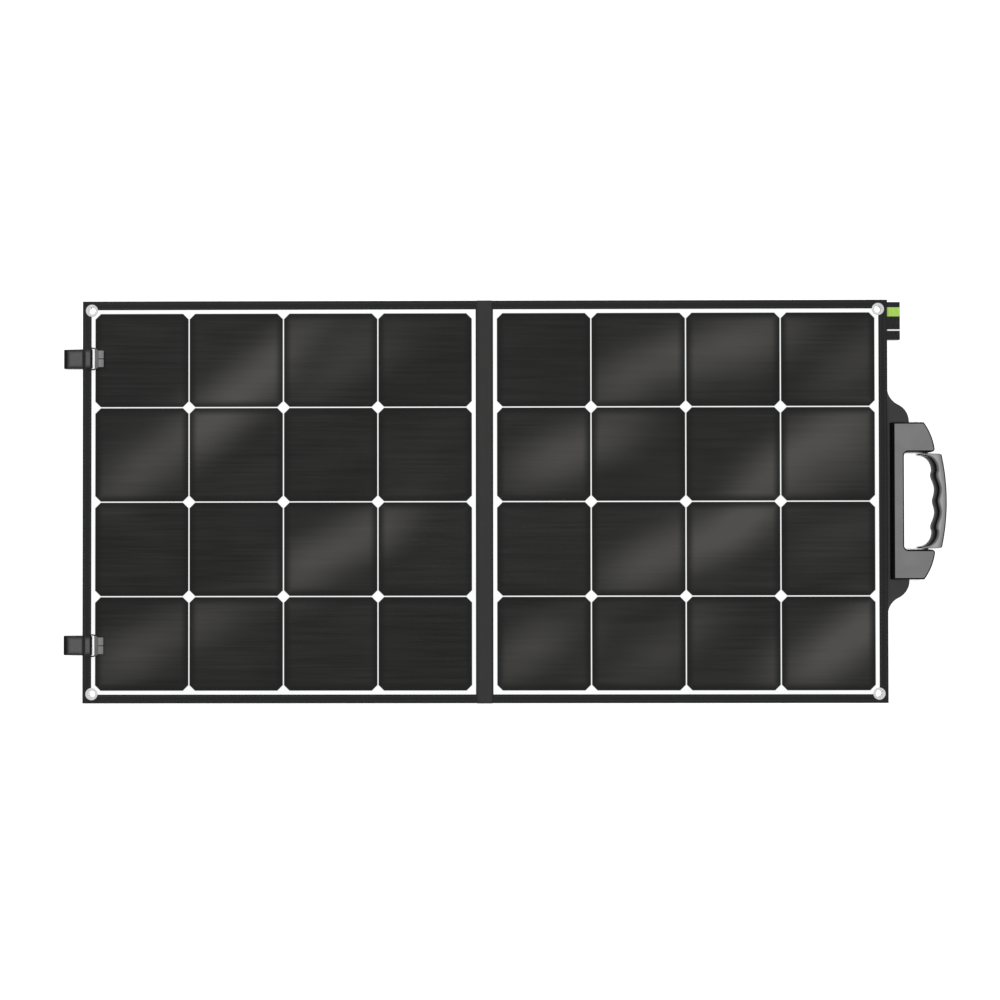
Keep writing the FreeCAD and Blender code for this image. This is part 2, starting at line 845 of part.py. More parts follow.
def make_grip():
    """A bail with a crowned outer edge; it is drawn level about its pins, then drooped."""
    half, crown, shoulder = size("grip_half"), size("grip_crown"), size("grip_shoulder")
    hook, hook_x, hook_y = size("grip_hook"), size("grip_hook_x"), size("grip_hook_y")
    wave = finger_wave(0)
    wave_top = (wave.StartPoint.x, wave.StartPoint.y)
    toe = hook_x - size("grip_toe")
    blunt = size("grip_corner")
    mitre = blunt * (1 - math.sqrt(0.5))
    corner = half - blunt
    curves = [wave, bend((shoulder, corner), (crown, 0), (shoulder, -corner))]
    for way in (1, -1):
        reach = math.atan2(wave_top[1] - hook_y, wave_top[0] - hook_x)
        middle = (reach + math.pi / 2) / 2
        half_way = (hook_x + hook * math.cos(middle), way * (hook_y + hook * math.sin(middle)))
        high = (hook_x, way * (hook_y + hook))
        curves += [
            bend((wave_top[0], way * wave_top[1]), half_way, high),
            line(high, (toe, way * (hook_y + hook))),
            line((toe, way * (hook_y + hook)), (toe, way * half)),
            line((toe, way * half), (shoulder - blunt, way * half)),
            bend(
                (shoulder - blunt, way * half),
                (shoulder - mitre, way * (half - mitre)),
                (shoulder, way * corner),
            ),
        ]
    edges = Part.__sortEdges__([curve.toShape() for curve in curves])
    outline = Part.Face(Part.Wire(edges))
    deep = size("grip_deep")
    body = outline.extrude(FreeCAD.Vector(0, 0, deep))
    body.translate(FreeCAD.Vector(0, 0, -deep / 2))

    def outer_edge(edge):
        middle = edge.valueAt((edge.FirstParameter + edge.LastParameter) / 2)
        level = all(abs(abs(v.Point.z) - deep / 2) < 0.01 for v in edge.Vertexes)
        return level and middle.x > shoulder - blunt / 2 and abs(middle.y) < half

    body = body.makeFillet(size("grip_round"), [e for e in body.Edges if outer_edge(e)])
    bore = Part.makeCylinder(
        size("grip_pin_size") + size("grip_play"),
        4 * half,
        FreeCAD.Vector(0, -2 * half, 0),
        FreeCAD.Vector(0, 1, 0),
    )
    front, (end_x, front_y) = finger_side(-size("pad_proud"))
    behind, (end_x, behind_y) = finger_side(size("pad_thick"))
    ends = [line((end_x, way * front_y), (end_x, way * behind_y)) for way in (1, -1)]
    pad_body = pad_slab([*front, *behind, *ends])
    recess = pad_slab([*behind, line((end_x, behind_y), (end_x, -behind_y))])
    place = FreeCAD.Placement(
        FreeCAD.Vector(value_of(at(1, "grip_pin_x")), 0, size("grip_pin_level")),
        FreeCAD.Rotation(FreeCAD.Vector(0, 1, 0), size("grip_droop")),
    )
    for shape, label in ((body.cut(bore).cut(recess), "grip"), (pad_body.cut(bore), "grip_pad")):
        made = doc.addObject("Part::Feature", "Grip")
        made.Shape = shape
        made.Placement = place * shape.Placement
        keep(made, label)


# ---- label, straps and sockets ----


def make_label():
    label = box(at(1, EDGE), "label_start", "label_level", "label_out", "label_long", "label_thick")
    keep(label, "side_label")


ANCHOR_X = f"({at(-1, EDGE)} - anchor_out)"


def make_anchor(way):
    """The stitched end of a closing strap, inside the border."""
    low_y = f"{way} * strap_y - webbing / 2"
    return box(ANCHOR_X, low_y, "anchor_level", "hem_end + anchor_out", "webbing", "webbing_thick")


def make_strap(way, name):
    """A strap out of the edge, turned back over the front, with a tongue on its end."""
    low_y = f"{way} * strap_y - webbing / 2"
    swing_x = f"({at(-1, EDGE)} - swing_out)"
    turn_x = f"({at(-1, EDGE)} - turn_out)"
    root = box(
        turn_x,
        low_y,
        "anchor_level",
        "turn_out - swing_out - swing_clear",
        "webbing",
        "webbing_thick",
    )
    keep(root, f"{name}_strap_root")

    bar_x = f"({at(-1, EDGE)} + bar_in)"
    rise = "(bar_level - turn_level - turn_clear - webbing_thick / 2)"
    strip = box(turn_x, low_y, "turn_level", "bar_in + turn_out - bar_size", "webbing", "webbing_thick")
    lean = value_of(f"atan({rise} / (bar_in + turn_out)) * 1 deg ^ -1")
    strip.Placement = FreeCAD.Placement(
        strip.Placement.Base, FreeCAD.Rotation(FreeCAD.Vector(0, -1, 0), lean)
    )
    drive(strip, z="turn_level + turn_clear")
    loop = rod(bar_x, low_y, "bar_level", "bar_size + bar_play + webbing_thick", "webbing", "y")
    hole = rod(bar_x, f"{low_y} - beyond", "bar_level", "bar_size + bar_play", "webbing + 2 * beyond", "y")
    keep(cut(fuse(strip, loop), hole), f"{name}_strap_end")

    frame_low = "bar_level - frame_thick / 2"
    middle = f"{way} * strap_y"
    low_end = f"{middle} - frame_half + frame_step"
    across = "2 * (frame_half - frame_step)"
    bar = rod(bar_x, low_end, "bar_level", "bar_size", across, "y")
    sides = [
        box(
            f"{bar_x} - frame_back",
            f"{middle} {edge}",
            frame_low,
            "frame_back + frame_front + frame_body / 2",
            "frame_side",
            "frame_thick",
        )
        for edge in ("- frame_half", "+ frame_half - frame_side")
    ]
    body = box(
        f"{bar_x} + frame_front",
        low_end,
        frame_low,
        "frame_body",
        across,
        "frame_thick",
    )
    prongs = [
        box(
            f"{bar_x} + frame_front + frame_body",
            f"{middle} {edge}",
            f"{frame_low} + frame_step",
            "prong_long",
            "prong_half - prong_split / 2",
            "frame_thick - 2 * frame_step",
        )
        for edge in ("- prong_half", "+ prong_split / 2")
    ]
    keep(fuse(bar, *sides, body, *prongs), f"{name}_tongue")


def make_socket(way, name):
    """A flat socket on the back; a sprung plate in its window lets the tongue go."""
    low_x = at(1, "socket_start")
    middle = f"{way} * strap_y"
    high_x = f"({low_x} + socket_long)"
    case = box(
        low_x,
        f"{middle} - socket_wide / 2",
        "socket_level",
        "socket_long",
        "socket_wide",
        "back_level - socket_level",
    )
    slot = box(
        f"{high_x} - slot_deep",
        f"{middle} - slot_wide / 2",
        "slot_level",
        "slot_deep",
        "slot_wide",
        "slot_high",
    )
    plate_x = f"({high_x} - button_in - button_long)"
    window = box(
        f"{plate_x} - button_play",
        f"{middle} - button_wide / 2 - button_play",
        "0",
        "button_long + 2 * button_play",
        "button_wide + 2 * button_play",
        "slot_level + button_flange",
    )
    recess = box(
        f"{plate_x} - button_flange - button_play",
        f"{middle} - button_wide / 2 - button_flange - button_play",
        "slot_level",
        "button_long + 2 * button_flange + 2 * button_play",
        "button_wide + 2 * button_flange + 2 * button_play",
        "slot_high",
    )
    keep(cut(case, slot, window, recess), f"{name}_socket")
    boss = box(
        plate_x,
        f"{middle} - button_wide / 2",
        "socket_level",
        "button_long",
        "button_wide",
        "slot_level - socket_level + button_play",
    )
    flange = box(
        f"{plate_x} - button_flange",
        f"{middle} - button_wide / 2 - button_flange",
        "slot_level + button_play",
        "button_long + 2 * button_flange",
        "button_wide + 2 * button_flange",
        "flange_thick",
    )
    keep(fuse(boss, flange), f"{name}_button")


anchors = {"upper": make_anchor(1), "lower": make_anchor(-1)}
make_half(1, "right", [box_hole()], [])
make_half(-1, "left", [], list(anchors.values()))
for place, anchor in anchors.items():
    keep(anchor, f"{place}_strap_anchor")
make_spine()
make_junction_box()
make_pocket()
make_slider()
make_stand(1, "right")
make_stand(-1, "left")
make_bracket(make_tongue())
make_grip()
make_label()
for way, place in ((1, "upper"), (-1, "lower")):
    make_strap(way, place)
    make_socket(way, place)

doc.recompute()
for thing in doc.Objects:
    if {"Invalid", "Error"} & set(thing.State):
        raise RuntimeError(f"{thing.Label} did not build")
for thing in nodes:
    if thing.Shape.isNull() or not thing.Shape.isValid():
        raise RuntimeError(f"{thing.Label} is not a valid solid")

os.makedirs("parts", exist_ok=True)
for thing in nodes:
    thing.Shape.exportStep(f"parts/{thing.Label}.step")
    print(thing.Label, len(thing.Shape.Solids), round(thing.Shape.Volume))
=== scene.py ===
import json
import math
import random

import bmesh
import bpy
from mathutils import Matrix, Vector, noise


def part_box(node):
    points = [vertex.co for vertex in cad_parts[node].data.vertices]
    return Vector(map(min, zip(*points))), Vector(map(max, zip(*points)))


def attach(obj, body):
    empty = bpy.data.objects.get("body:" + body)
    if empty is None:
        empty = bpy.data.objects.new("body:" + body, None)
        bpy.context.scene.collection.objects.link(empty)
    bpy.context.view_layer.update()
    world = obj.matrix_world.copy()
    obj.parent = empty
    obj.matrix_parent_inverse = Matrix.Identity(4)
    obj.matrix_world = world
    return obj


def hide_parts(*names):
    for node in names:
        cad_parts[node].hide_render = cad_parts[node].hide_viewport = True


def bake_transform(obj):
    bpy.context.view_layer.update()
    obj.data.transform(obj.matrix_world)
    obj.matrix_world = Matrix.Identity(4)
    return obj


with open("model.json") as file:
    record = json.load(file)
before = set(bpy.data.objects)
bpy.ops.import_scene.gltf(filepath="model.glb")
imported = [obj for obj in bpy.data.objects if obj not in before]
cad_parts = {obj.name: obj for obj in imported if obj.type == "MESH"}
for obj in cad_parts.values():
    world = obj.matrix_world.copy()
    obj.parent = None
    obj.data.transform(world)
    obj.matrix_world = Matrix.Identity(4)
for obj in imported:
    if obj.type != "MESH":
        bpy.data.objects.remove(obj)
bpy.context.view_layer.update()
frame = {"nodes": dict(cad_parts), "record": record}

MM = 0.001
random.seed(7)
TAU = 2 * math.pi
RECORD = frame["record"]
NODE_BODY = {node: body for body, nodes in RECORD["behaviour"]["bodies"].items() for node in nodes}
NODE_SLOT = {part["node"]: part["material_slot"] for part in RECORD["subparts"]}
SIDES = {"right": 1, "left": -1}
LEVELS = {"upper": 1, "lower": -1}
LOOP_OUT = 3.08  # from the buckle's bar to the outside of the webbing round it
TUCK_IN = 8.2  # from the bar to the row of stitches that closes the loop
UP, DOWN = (0, 0, 1), (0, 0, -1)


def box(node):
    """Lowest and highest corner of a CAD node, in millimetres."""
    low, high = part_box(node)
    return low / MM, high / MM


SPINE_X = (box("spine_front")[0].x + box("spine_front")[1].x) / 2


# ---- materials: lengths in metres, colours linear ----

NOISE_ROUGH = 0.55
EDGE_WEAR_AND_SHADE_REACH = 0.0008


class Value:
    """A number in a material. Arithmetic on it adds Math nodes."""

    def __init__(self, paint, socket):
        self.paint, self.socket = paint, socket

    def math(self, operation, *others):
        return self.paint.add("Math", dict(enumerate((self, *others))), operation=operation)

    def __add__(self, other):
        return self.math("ADD", other)

    def __sub__(self, other):
        return self.math("SUBTRACT", other)

    def __mul__(self, other):
        return self.math("MULTIPLY", other)

    def __truediv__(self, other):
        return self.math("DIVIDE", other)

    def __pow__(self, other):
        return self.math("POWER", other)

    def __abs__(self):
        return self.math("ABSOLUTE")

    def larger(self, other):
        return self.math("MAXIMUM", other)

    def wave(self, pitch):
        """A sine along this coordinate, from -1 to 1; pitch is in metres."""
        return (self * (TAU / pitch)).math("SINE")

    def ramp(self, low, high, to_low=0.0, to_high=1.0):
        """A soft step from to_low to to_high as this goes from low to high."""
        inputs = {0: self, 1: low, 2: high, 3: to_low, 4: to_high}
        return self.paint.add("MapRange", inputs, interpolation_type="SMOOTHSTEP")

    def mix(self, first, second):
        """The first colour where this is 0, the second where it's 1."""
        node = self.paint.tree.nodes.new("ShaderNodeMix")
        node.data_type = "RGBA"
        for place, value in ((0, self), (6, first), (7, second)):
            self.paint.put(node.inputs[place], (*value, 1) if isinstance(value, tuple) else value)
        return Value(self.paint, node.outputs[2])


class Paint:
    """A node material on one Principled shader."""

    def __init__(self, name, **constants):
        self.made = bpy.data.materials.new(name)
        self.made.use_nodes = True
        self.tree = self.made.node_tree
        self.shader = self.tree.nodes["Principled BSDF"]
        for key, value in constants.items():
            self.shader.inputs[key.replace("_", " ")].default_value = value
        places = self.tree.nodes.new("ShaderNodeTexCoord").outputs
        self.where, self.facing = Value(self, places["Object"]), Value(self, places["Normal"])

    def put(self, socket, value):
        """Links a Value to an input, or writes a constant on it."""
        if isinstance(value, Value):
            self.tree.links.new(value.socket, socket)
        else:
            socket.default_value = value

    def add(self, kind, inputs, out=0, **settings):
        """A node, with its inputs and its output by name or place."""
        node = self.tree.nodes.new("ShaderNode" + kind)
        for key, value in settings.items():
            setattr(node, key, value)
        for key, value in inputs.items():
            self.put(node.inputs[key], value)
        return Value(self, node.outputs[out])

    def axis(self, name):
        return self.add("SeparateXYZ", {0: self.where}, out=name)

    def noise(self, scale, detail, stretch=None):
        where = self.where
        if stretch:
            where = self.add("Mapping", {"Vector": where, "Scale": stretch})
        inputs = {"Vector": where, "Scale": scale, "Detail": detail, "Roughness": NOISE_ROUGH}
        return self.add("TexNoise", inputs)

    def colour(self, value):
        self.put(self.shader.inputs["Base Color"], value)

    def rough(self, value, low, high):
        self.put(self.shader.inputs["Roughness"], value.ramp(0.2, 0.8, low, high))

    def bump(self, height, depth, strength=0.5):
        inputs = {"Height": height, "Distance": depth, "Strength": strength}
        self.put(self.shader.inputs["Normal"], self.add("Bump", inputs, out="Normal"))

    def edge_wear_and_shade(self, base, other, share):
        """The colour base, turning to another along the edges: lighter edges stand for wear, darker edges
        are painted shade.
        """
        bent = self.add("Bevel", {"Radius": EDGE_WEAR_AND_SHADE_REACH}, samples=6)
        plain = self.add("NewGeometry", {}, out="Normal")
        turned = self.add("VectorMath", {0: bent, 1: plain}, operation="DOT_PRODUCT", out="Value")
        patchy = turned.ramp(0.998, 0.86) * self.noise(160.0, 4.0).ramp(0.2, 0.6, 0.75, 1.0)
        return (patchy * share).mix(base, other)


def scaled(colour, factor):
    return tuple(c * factor for c in colour)


def grey(level, blue=0.0):
    """A grey with a little more blue."""
    return (level, level, level + blue)


def fabric(name, base, pitch=0.0006):
    """Plain-woven cloth with a thin coat: fine weave, soft mottling and a dry sheen."""
    paint = Paint(name, Sheen_Weight=0.04, Sheen_Roughness=0.45, Specular_IOR_Level=0.28)
    x, y, z = (paint.axis(a) for a in "XYZ")
    weave = (x + z).wave(pitch) * (y + z).wave(pitch)
    mottle = paint.noise(26.0, 4.0)
    slub = paint.noise(700.0, 2.0, stretch=(0.06, 1, 1)) + paint.noise(700.0, 2.0, stretch=(1, 0.06, 1))
    tone = (mottle * 0.6 + slub * 0.35).ramp(0.3, 1.0)
    dyed = tone.mix(scaled(base, 0.84), scaled(base, 1.16))
    paint.colour(weave.ramp(-0.6, 0.8).mix(scaled(base, 0.8), dyed))
    paint.rough(mottle, 0.5, 0.68)
    paint.bump(weave * 0.5 + slub * 0.5, 0.00012)
    return paint.made


PICK_PITCH, RIB_PITCH = 0.0012, 0.0016
EDGE_SHADE_WIDTH = 0.0062  # how far in from its edge the webbing is painted darker, as shade where it rounds over


def webbing_cloth(name, base):
    """Flat webbing with a fine zigzag weave; painted shade darkens its edges, the fold, the dip at the sewn
    tuck and the loop past the bar.
    """
    paint = Paint(name, Sheen_Weight=0.05, Sheen_Roughness=0.5, Specular_IOR_Level=0.25)
    x, y = paint.axis("X"), paint.axis("Y")
    low, high = box("upper_strap_root")
    middle, half = (low.y + high.y) / 2 * MM, (high.y - low.y) / 2 * MM
    bar_x = (box("upper_strap_end")[1].x - LOOP_OUT) * MM
    rib = y.wave(RIB_PITCH)
    pick = (x * (TAU / PICK_PITCH) + abs(rib) * 2.0).math("SINE")
    grain = paint.noise(420.0, 3.0)
    tone = (rib + pick) * 0.12 + grain
    woven = tone.ramp(0.1, 0.9).mix(scaled(base, 0.84), scaled(base, 1.12))
    # painted shade: the webbing darkens along its rounded edges, round the fold, in the dip at the tuck and
    # past the bar
    edge_shade = abs(abs(y) - middle).ramp(half - EDGE_SHADE_WIDTH, half - 0.0002) * 0.85
    fold = x.ramp((low.x + 10.5) * MM, (low.x + 3.2) * MM)
    tuck_shade = abs(x - (bar_x - TUCK_IN * MM)).ramp(0.0036, 0.0012)
    turned = x.ramp(bar_x - 0.0002, bar_x + 0.0016)
    shade = edge_shade.larger(fold).larger(tuck_shade.larger(turned))
    paint.colour(shade.mix(woven, scaled(base, 0.08)))
    paint.rough(grain, 0.6, 0.8)
    paint.bump(pick * 0.6 + rib, 0.0001)
    return paint.made


MOULDED_ROUGH = (0.42, 0.56)


def moulded(name, base, grain, specular):
    """A grained shader for moulded plastic, its mottled colour and its unevenness."""
    paint = Paint(name, Specular_IOR_Level=specular)
    fine, broad = paint.noise(grain, 2.0), paint.noise(38.0, 3.0)
    body = broad.ramp(0.3, 0.7).mix(scaled(base, 0.95), scaled(base, 1.05))
    paint.bump(fine, 0.00004)
    return paint, body, fine * 0.5 + broad * 0.5


def plastic(name, base, grain, rough=MOULDED_ROUGH, edge_wear_and_shade=1.35, specular=0.4, share=0.6):
    """Moulded plastic with a spark-eroded grain; edges lighter than the faces stand for wear, edges darker
    than them are painted shade.
    """
    paint, body, uneven = moulded(name, base, grain, specular)
    paint.colour(paint.edge_wear_and_shade(body, scaled(base, edge_wear_and_shade), share))
    paint.rough(uneven, *rough)
    return paint.made


DROOP = math.radians(18)  # of the grip, which hangs down from its pins
GRIP_AWAY = (math.cos(DROOP), 0.0, -math.sin(DROOP))
GRIP_PIN = (SPINE_X + 592.7, 16.65)  # x and z of its pins, in millimetres
GRIP_CURVE = 2.1  # how fast the grip's outer edge falls back beside its middle


def grip_depth(paint):
    """Height above the grip's pins, square to its face."""
    pin_x, pin_z = GRIP_PIN
    from_x = (paint.axis("X") - pin_x * MM) * math.sin(DROOP)
    return from_x + (paint.axis("Z") - pin_z * MM) * math.cos(DROOP)


def painted_light_plastic(name, base, side, away=None, painted_highlight=None, painted_wall_shade=None):
    """Moulded grey plastic whose sides are painted near black as shade.

    The painted shade covers every face that doesn't look up, or only those that look away if that direction
    is given.
    The painted highlight is (start, end, brighter): along X the grey gets brighter towards end.
    The painted wall shade is (low, dark, light): below the face the grey deepens from low up to dark, and
    is back at light.
    """
    paint, body, uneven = moulded(name, base, 2600.0, 0.07)
    # a painted highlight brightens the grey across the face
    if painted_highlight:
        start, end, brighter = painted_highlight
        y = paint.axis("Y")
        along = y * y * GRIP_CURVE + paint.axis("X")
        body = along.ramp(start, end).mix(body, scaled(base, brighter))
    # painted shade darkens the wall below the face
    if painted_wall_shade:
        low, dark, light = painted_wall_shade
        depth = grip_depth(paint)
        shade = depth.ramp(low, dark).mix(scaled(base, 0.6), scaled(base, 0.06))
        body = depth.ramp(dark, light).mix(shade, body)
    facing = {0: paint.facing, 1: away or UP}
    level = paint.add("VectorMath", facing, operation="DOT_PRODUCT", out="Value")
    sides = level.ramp(0.0, 0.13) if away else level.ramp(0.999, 0.95)
    # painted shade: the sides take the near-black side colour
    paint.colour(sides.mix(body, side))
    paint.rough(uneven, *MOULDED_ROUGH)
    return paint.made


def grip_rubber(name):
    """Soft near-black rubber that turns to the grey of the grip along the edge next to its face."""
    paint = Paint(name, Specular_IOR_Level=0.03)
    fine, broad = paint.noise(1500.0, 2.0), paint.noise(60.0, 3.0)
    black = broad.ramp(0.3, 0.7).mix(grey(0.0018), grey(0.003))
    paint.colour(grip_depth(paint).ramp(0.0042, 0.0076).mix(black, grey(0.15, 0.002)))
    paint.rough(fine, 0.62, 0.8)
    paint.bump(fine, 0.00005, 0.6)
    return paint.made


def metal(name, base, rough, along, *, scratch=0.5, tarnish=0.82, metallic=1.0, wall=None):
    """Plated or turned metal: fine lines one way and faint tarnish; wall is a colour painted on the upright
    faces as painted light.
    """
    paint = Paint(name, Metallic=metallic)
    stretch = tuple(0.02 if axis == along else 1 for axis in "XYZ")
    lines, stain = paint.noise(2600.0, 2.0, stretch=stretch), paint.noise(90.0, 4.0)
    plated = stain.ramp(0.35, 0.7).mix(scaled(base, tarnish), base)
    if wall:
        # painted light: the upright faces take the wall colour instead of the metal
        level = paint.add("SeparateXYZ", {0: paint.facing}, out="Z")
        plated = level.ramp(0.2, 0.7).mix(wall, plated)
    paint.colour(plated)
    paint.rough(lines * 0.5 + stain * 0.5, *rough)
    paint.bump(lines, 0.00002, scratch)
    return paint.made


# Millimetres: from cell to cell, half a cell, its cut corner, and from the spine to a half's middle.
CELL_PITCH = 127.3
CELL_HALF = 62.5
CELL_CUT = 7.2
HALF_CENTRE = 270.75
CELL_DARK = (0.0094, 0.0093, 0.0092)
# the light cell colour is reached under the painted reflections
CELL_LIGHT = (0.0585, 0.0572, 0.0552)
FINE_LINES = 0.0021
STREAK_HALF = 66.0
STREAK_FADE = (-70.0, 60.0)  # each end fades from before it to inside it
# soft streaks painted into the cells' colour as reflections
STREAKS = (  # start, end and strength; set after the photo
    ((-538, 9), (-390, 112), 0.95),
    ((-397, 103), (-246, 238), 1.0),
    ((-529, -225), (-356, -137), 0.75),
    ((-296, -106), (-134, -18), 0.95),
    ((1, 38), (170, 106), 0.9),
    ((136, 146), (339, 242), 0.9),
    ((329, 18), (496, 121), 1.0),
    ((156, -106), (339, -14), 1.0),
    ((1, -233), (102, -168), 0.8),
    ((383, -230), (496, -137), 0.95),
    ((-246, 150), (-150, 235), 0.4),
    ((-529, -240), (-440, -170), 0.35),
    ((270, 180), (400, 240), 0.6),
    ((400, 150), (520, 235), 0.6),
    ((410, 10), (520, 90), 0.45),
    ((290, -60), (400, 20), 0.4),
    ((430, -80), (520, -20), 0.3),
    ((150, -230), (290, -150), 0.5),
    ((400, -240), (520, -150), 0.3),
)


def nearest_cell(place, middle):
    """Place from the middle of the nearest of the four cells in a row, in millimetres, and its number."""
    count = (place - middle * MM) / (CELL_PITCH * MM)
    number = count.math("FLOOR").larger(-2.0).math("MINIMUM", 1.0)
    return (count - number - 0.5) * CELL_PITCH, number


def painted_reflection_streak(x, y, start, end):
    """A soft painted reflection along a streak between two points, given in millimetres."""
    (x0, y0), (x1, y1) = start, end
    long = math.dist(start, end)
    way_x, way_y = (x1 - x0) / long, (y1 - y0) / long

    def along(a, b):
        return x * (a / MM) + y * (b / MM) - (a * x0 + b * y0)

    beside = abs(along(-way_y, way_x)).ramp(STREAK_HALF, 0.0)
    run = along(way_x, way_y)
    before, inside = STREAK_FADE
    ends = run.ramp(before, inside) * run.ramp(long - before, long - inside)
    return beside**1.5 * ends


def cell_glass(name):
    """Back-contact silicon under a matt film.

    Fine lines, rims painted darker as shade, and soft painted reflections in streaks that step from cell to
    cell.
    """
    paint = Paint(name, Specular_IOR_Level=0.5, Coat_Weight=0.35, Coat_Roughness=0.22, Coat_IOR=1.45)
    x, y = paint.axis("X"), paint.axis("Y")
    beyond_spine = x - SPINE_X * MM
    place_x, number_x = nearest_cell(abs(beyond_spine), HALF_CENTRE)
    place_y, number_y = nearest_cell(y, 0.0)
    seed = paint.add("CombineXYZ", {0: number_x, 1: number_y, 2: beyond_spine.math("SIGN")})
    lot = paint.add("TexWhiteNoise", {"Vector": seed})
    other_seed = paint.add("VectorMath", {0: seed, 1: (3.1, 1.7, 0.4)}, operation="ADD")
    lot_two = paint.add("TexWhiteNoise", {"Vector": other_seed})

    moved = x + (paint.noise(4.0, 1.0) - 0.5) * 0.05 + (lot - 0.5) * 0.04
    # painted reflections: soft bright streaks laid into the colour
    streaks = 0.0
    for start, end, strength in STREAKS:
        streaks = painted_reflection_streak(moved, y, start, end) * strength + streaks
    painted_highlight = streaks * (lot_two * 0.4 + 0.62)
    mottle = paint.noise(7.0, 2.0, stretch=(1.0, 1.6, 1.0)).ramp(0.3, 0.75)
    thin = y.wave(FINE_LINES) * 0.5 + 0.5
    brushed = paint.noise(300.0, 2.0, stretch=(0.03, 1.0, 1.0)) - 0.5
    tone = painted_highlight * 0.78 + mottle * 0.06 + thin * 0.04 + brushed * 0.3 + lot_two * 0.05 + 0.06
    # painted shade: each cell darkens towards its rim
    inner = abs(place_x).larger(abs(place_y)).ramp(CELL_HALF - 0.5, CELL_HALF - 12.0)
    paint.colour((tone * (inner * 0.85 + 0.15)).mix(CELL_DARK, CELL_LIGHT))
    paint.rough(mottle, 0.34, 0.5)
    paint.bump(thin * 0.25 + paint.noise(1400.0, 2.0), 0.00003, 0.35)
    return paint.made


def white_sheet(name):
    """White backing under a pebbled clear film, which turns dark grey in a thin band beside each cell."""
    paint = Paint(name, Specular_IOR_Level=0.4, Coat_Weight=0.25, Coat_Roughness=0.3)
    beyond_spine = abs(paint.axis("X") - SPINE_X * MM)
    place_x = abs(nearest_cell(beyond_spine, HALF_CENTRE)[0])
    place_y = abs(nearest_cell(paint.axis("Y"), 0.0)[0])
    past_edge = place_x.larger(place_y) - CELL_HALF
    past_cut = place_x + place_y - (2 * CELL_HALF - CELL_CUT)
    gap = past_edge.larger(past_cut * math.sqrt(0.5))
    inputs = {"Vector": paint.where, "Scale": 900.0, "Smoothness": 0.6}
    pebble = paint.add("TexVoronoi", inputs, feature="SMOOTH_F1")
    cloud = paint.noise(11.0, 3.0)
    white = cloud.ramp(0.3, 0.7).mix((0.75, 0.755, 0.76), grey(0.79))
    paint.colour(gap.ramp(0.15, 0.75).mix(grey(0.07), white))
    paint.rough(cloud, 0.38, 0.5)
    paint.bump(pebble, 0.00005, 0.35)
    return paint.made


def thread(name, base):
    """Twisted sewing thread."""
    paint = Paint(name, Sheen_Weight=0.1, Specular_IOR_Level=0.3, Roughness=0.6)
    ply = (paint.axis("X") + paint.axis("Y")).wave(0.0007)
    twist = (ply + paint.noise(1500.0, 2.0)).ramp(-0.5, 1.4)
    paint.colour(twist.mix(scaled(base, 0.6), scaled(base, 1.25)))
    paint.bump(ply, 0.0001)
    return paint.made


def label_cloth(name, low_y, long):
    """Satin-woven black label with one plain green band and a thin white line."""
    paint = Paint(name, Sheen_Weight=0.08, Specular_IOR_Level=0.35)
    y = (paint.axis("Y") - low_y * MM) / (long * MM)
    pick = (paint.axis("X") + paint.axis("Y") * 0.5).wave(0.0005)
    grain = paint.noise(900.0, 2.0, stretch=(1, 0.1, 1))

    def stripe(low, high):
        return y.ramp(low - 0.006, low + 0.006) * y.ramp(high + 0.006, high - 0.006)

    def satin(dark, light):
        return grain.ramp(0.3, 0.7).mix(dark, light)

    ground = satin(grey(0.012, 0.001), grey(0.022, 0.001))
    green = satin((0.27, 0.46, 0.08), (0.35, 0.56, 0.105))
    white = satin(grey(0.68), grey(0.82))
    banded = stripe(0.62, 0.86).mix(ground, green)
    paint.colour(stripe(0.24, 0.275).mix(banded, white))
    paint.rough(grain, 0.45, 0.62)
    paint.bump(pick + grain, 0.0001)
    return paint.made


def floor_paint():
    paint = Paint("floor_paint", Specular_IOR_Level=0.1)
    cloud = paint.noise(1.5, 2.0)
    paint.colour(cloud.mix(grey(0.93), grey(0.95)))
    paint.rough(cloud, 0.8, 0.9)
    return paint.made


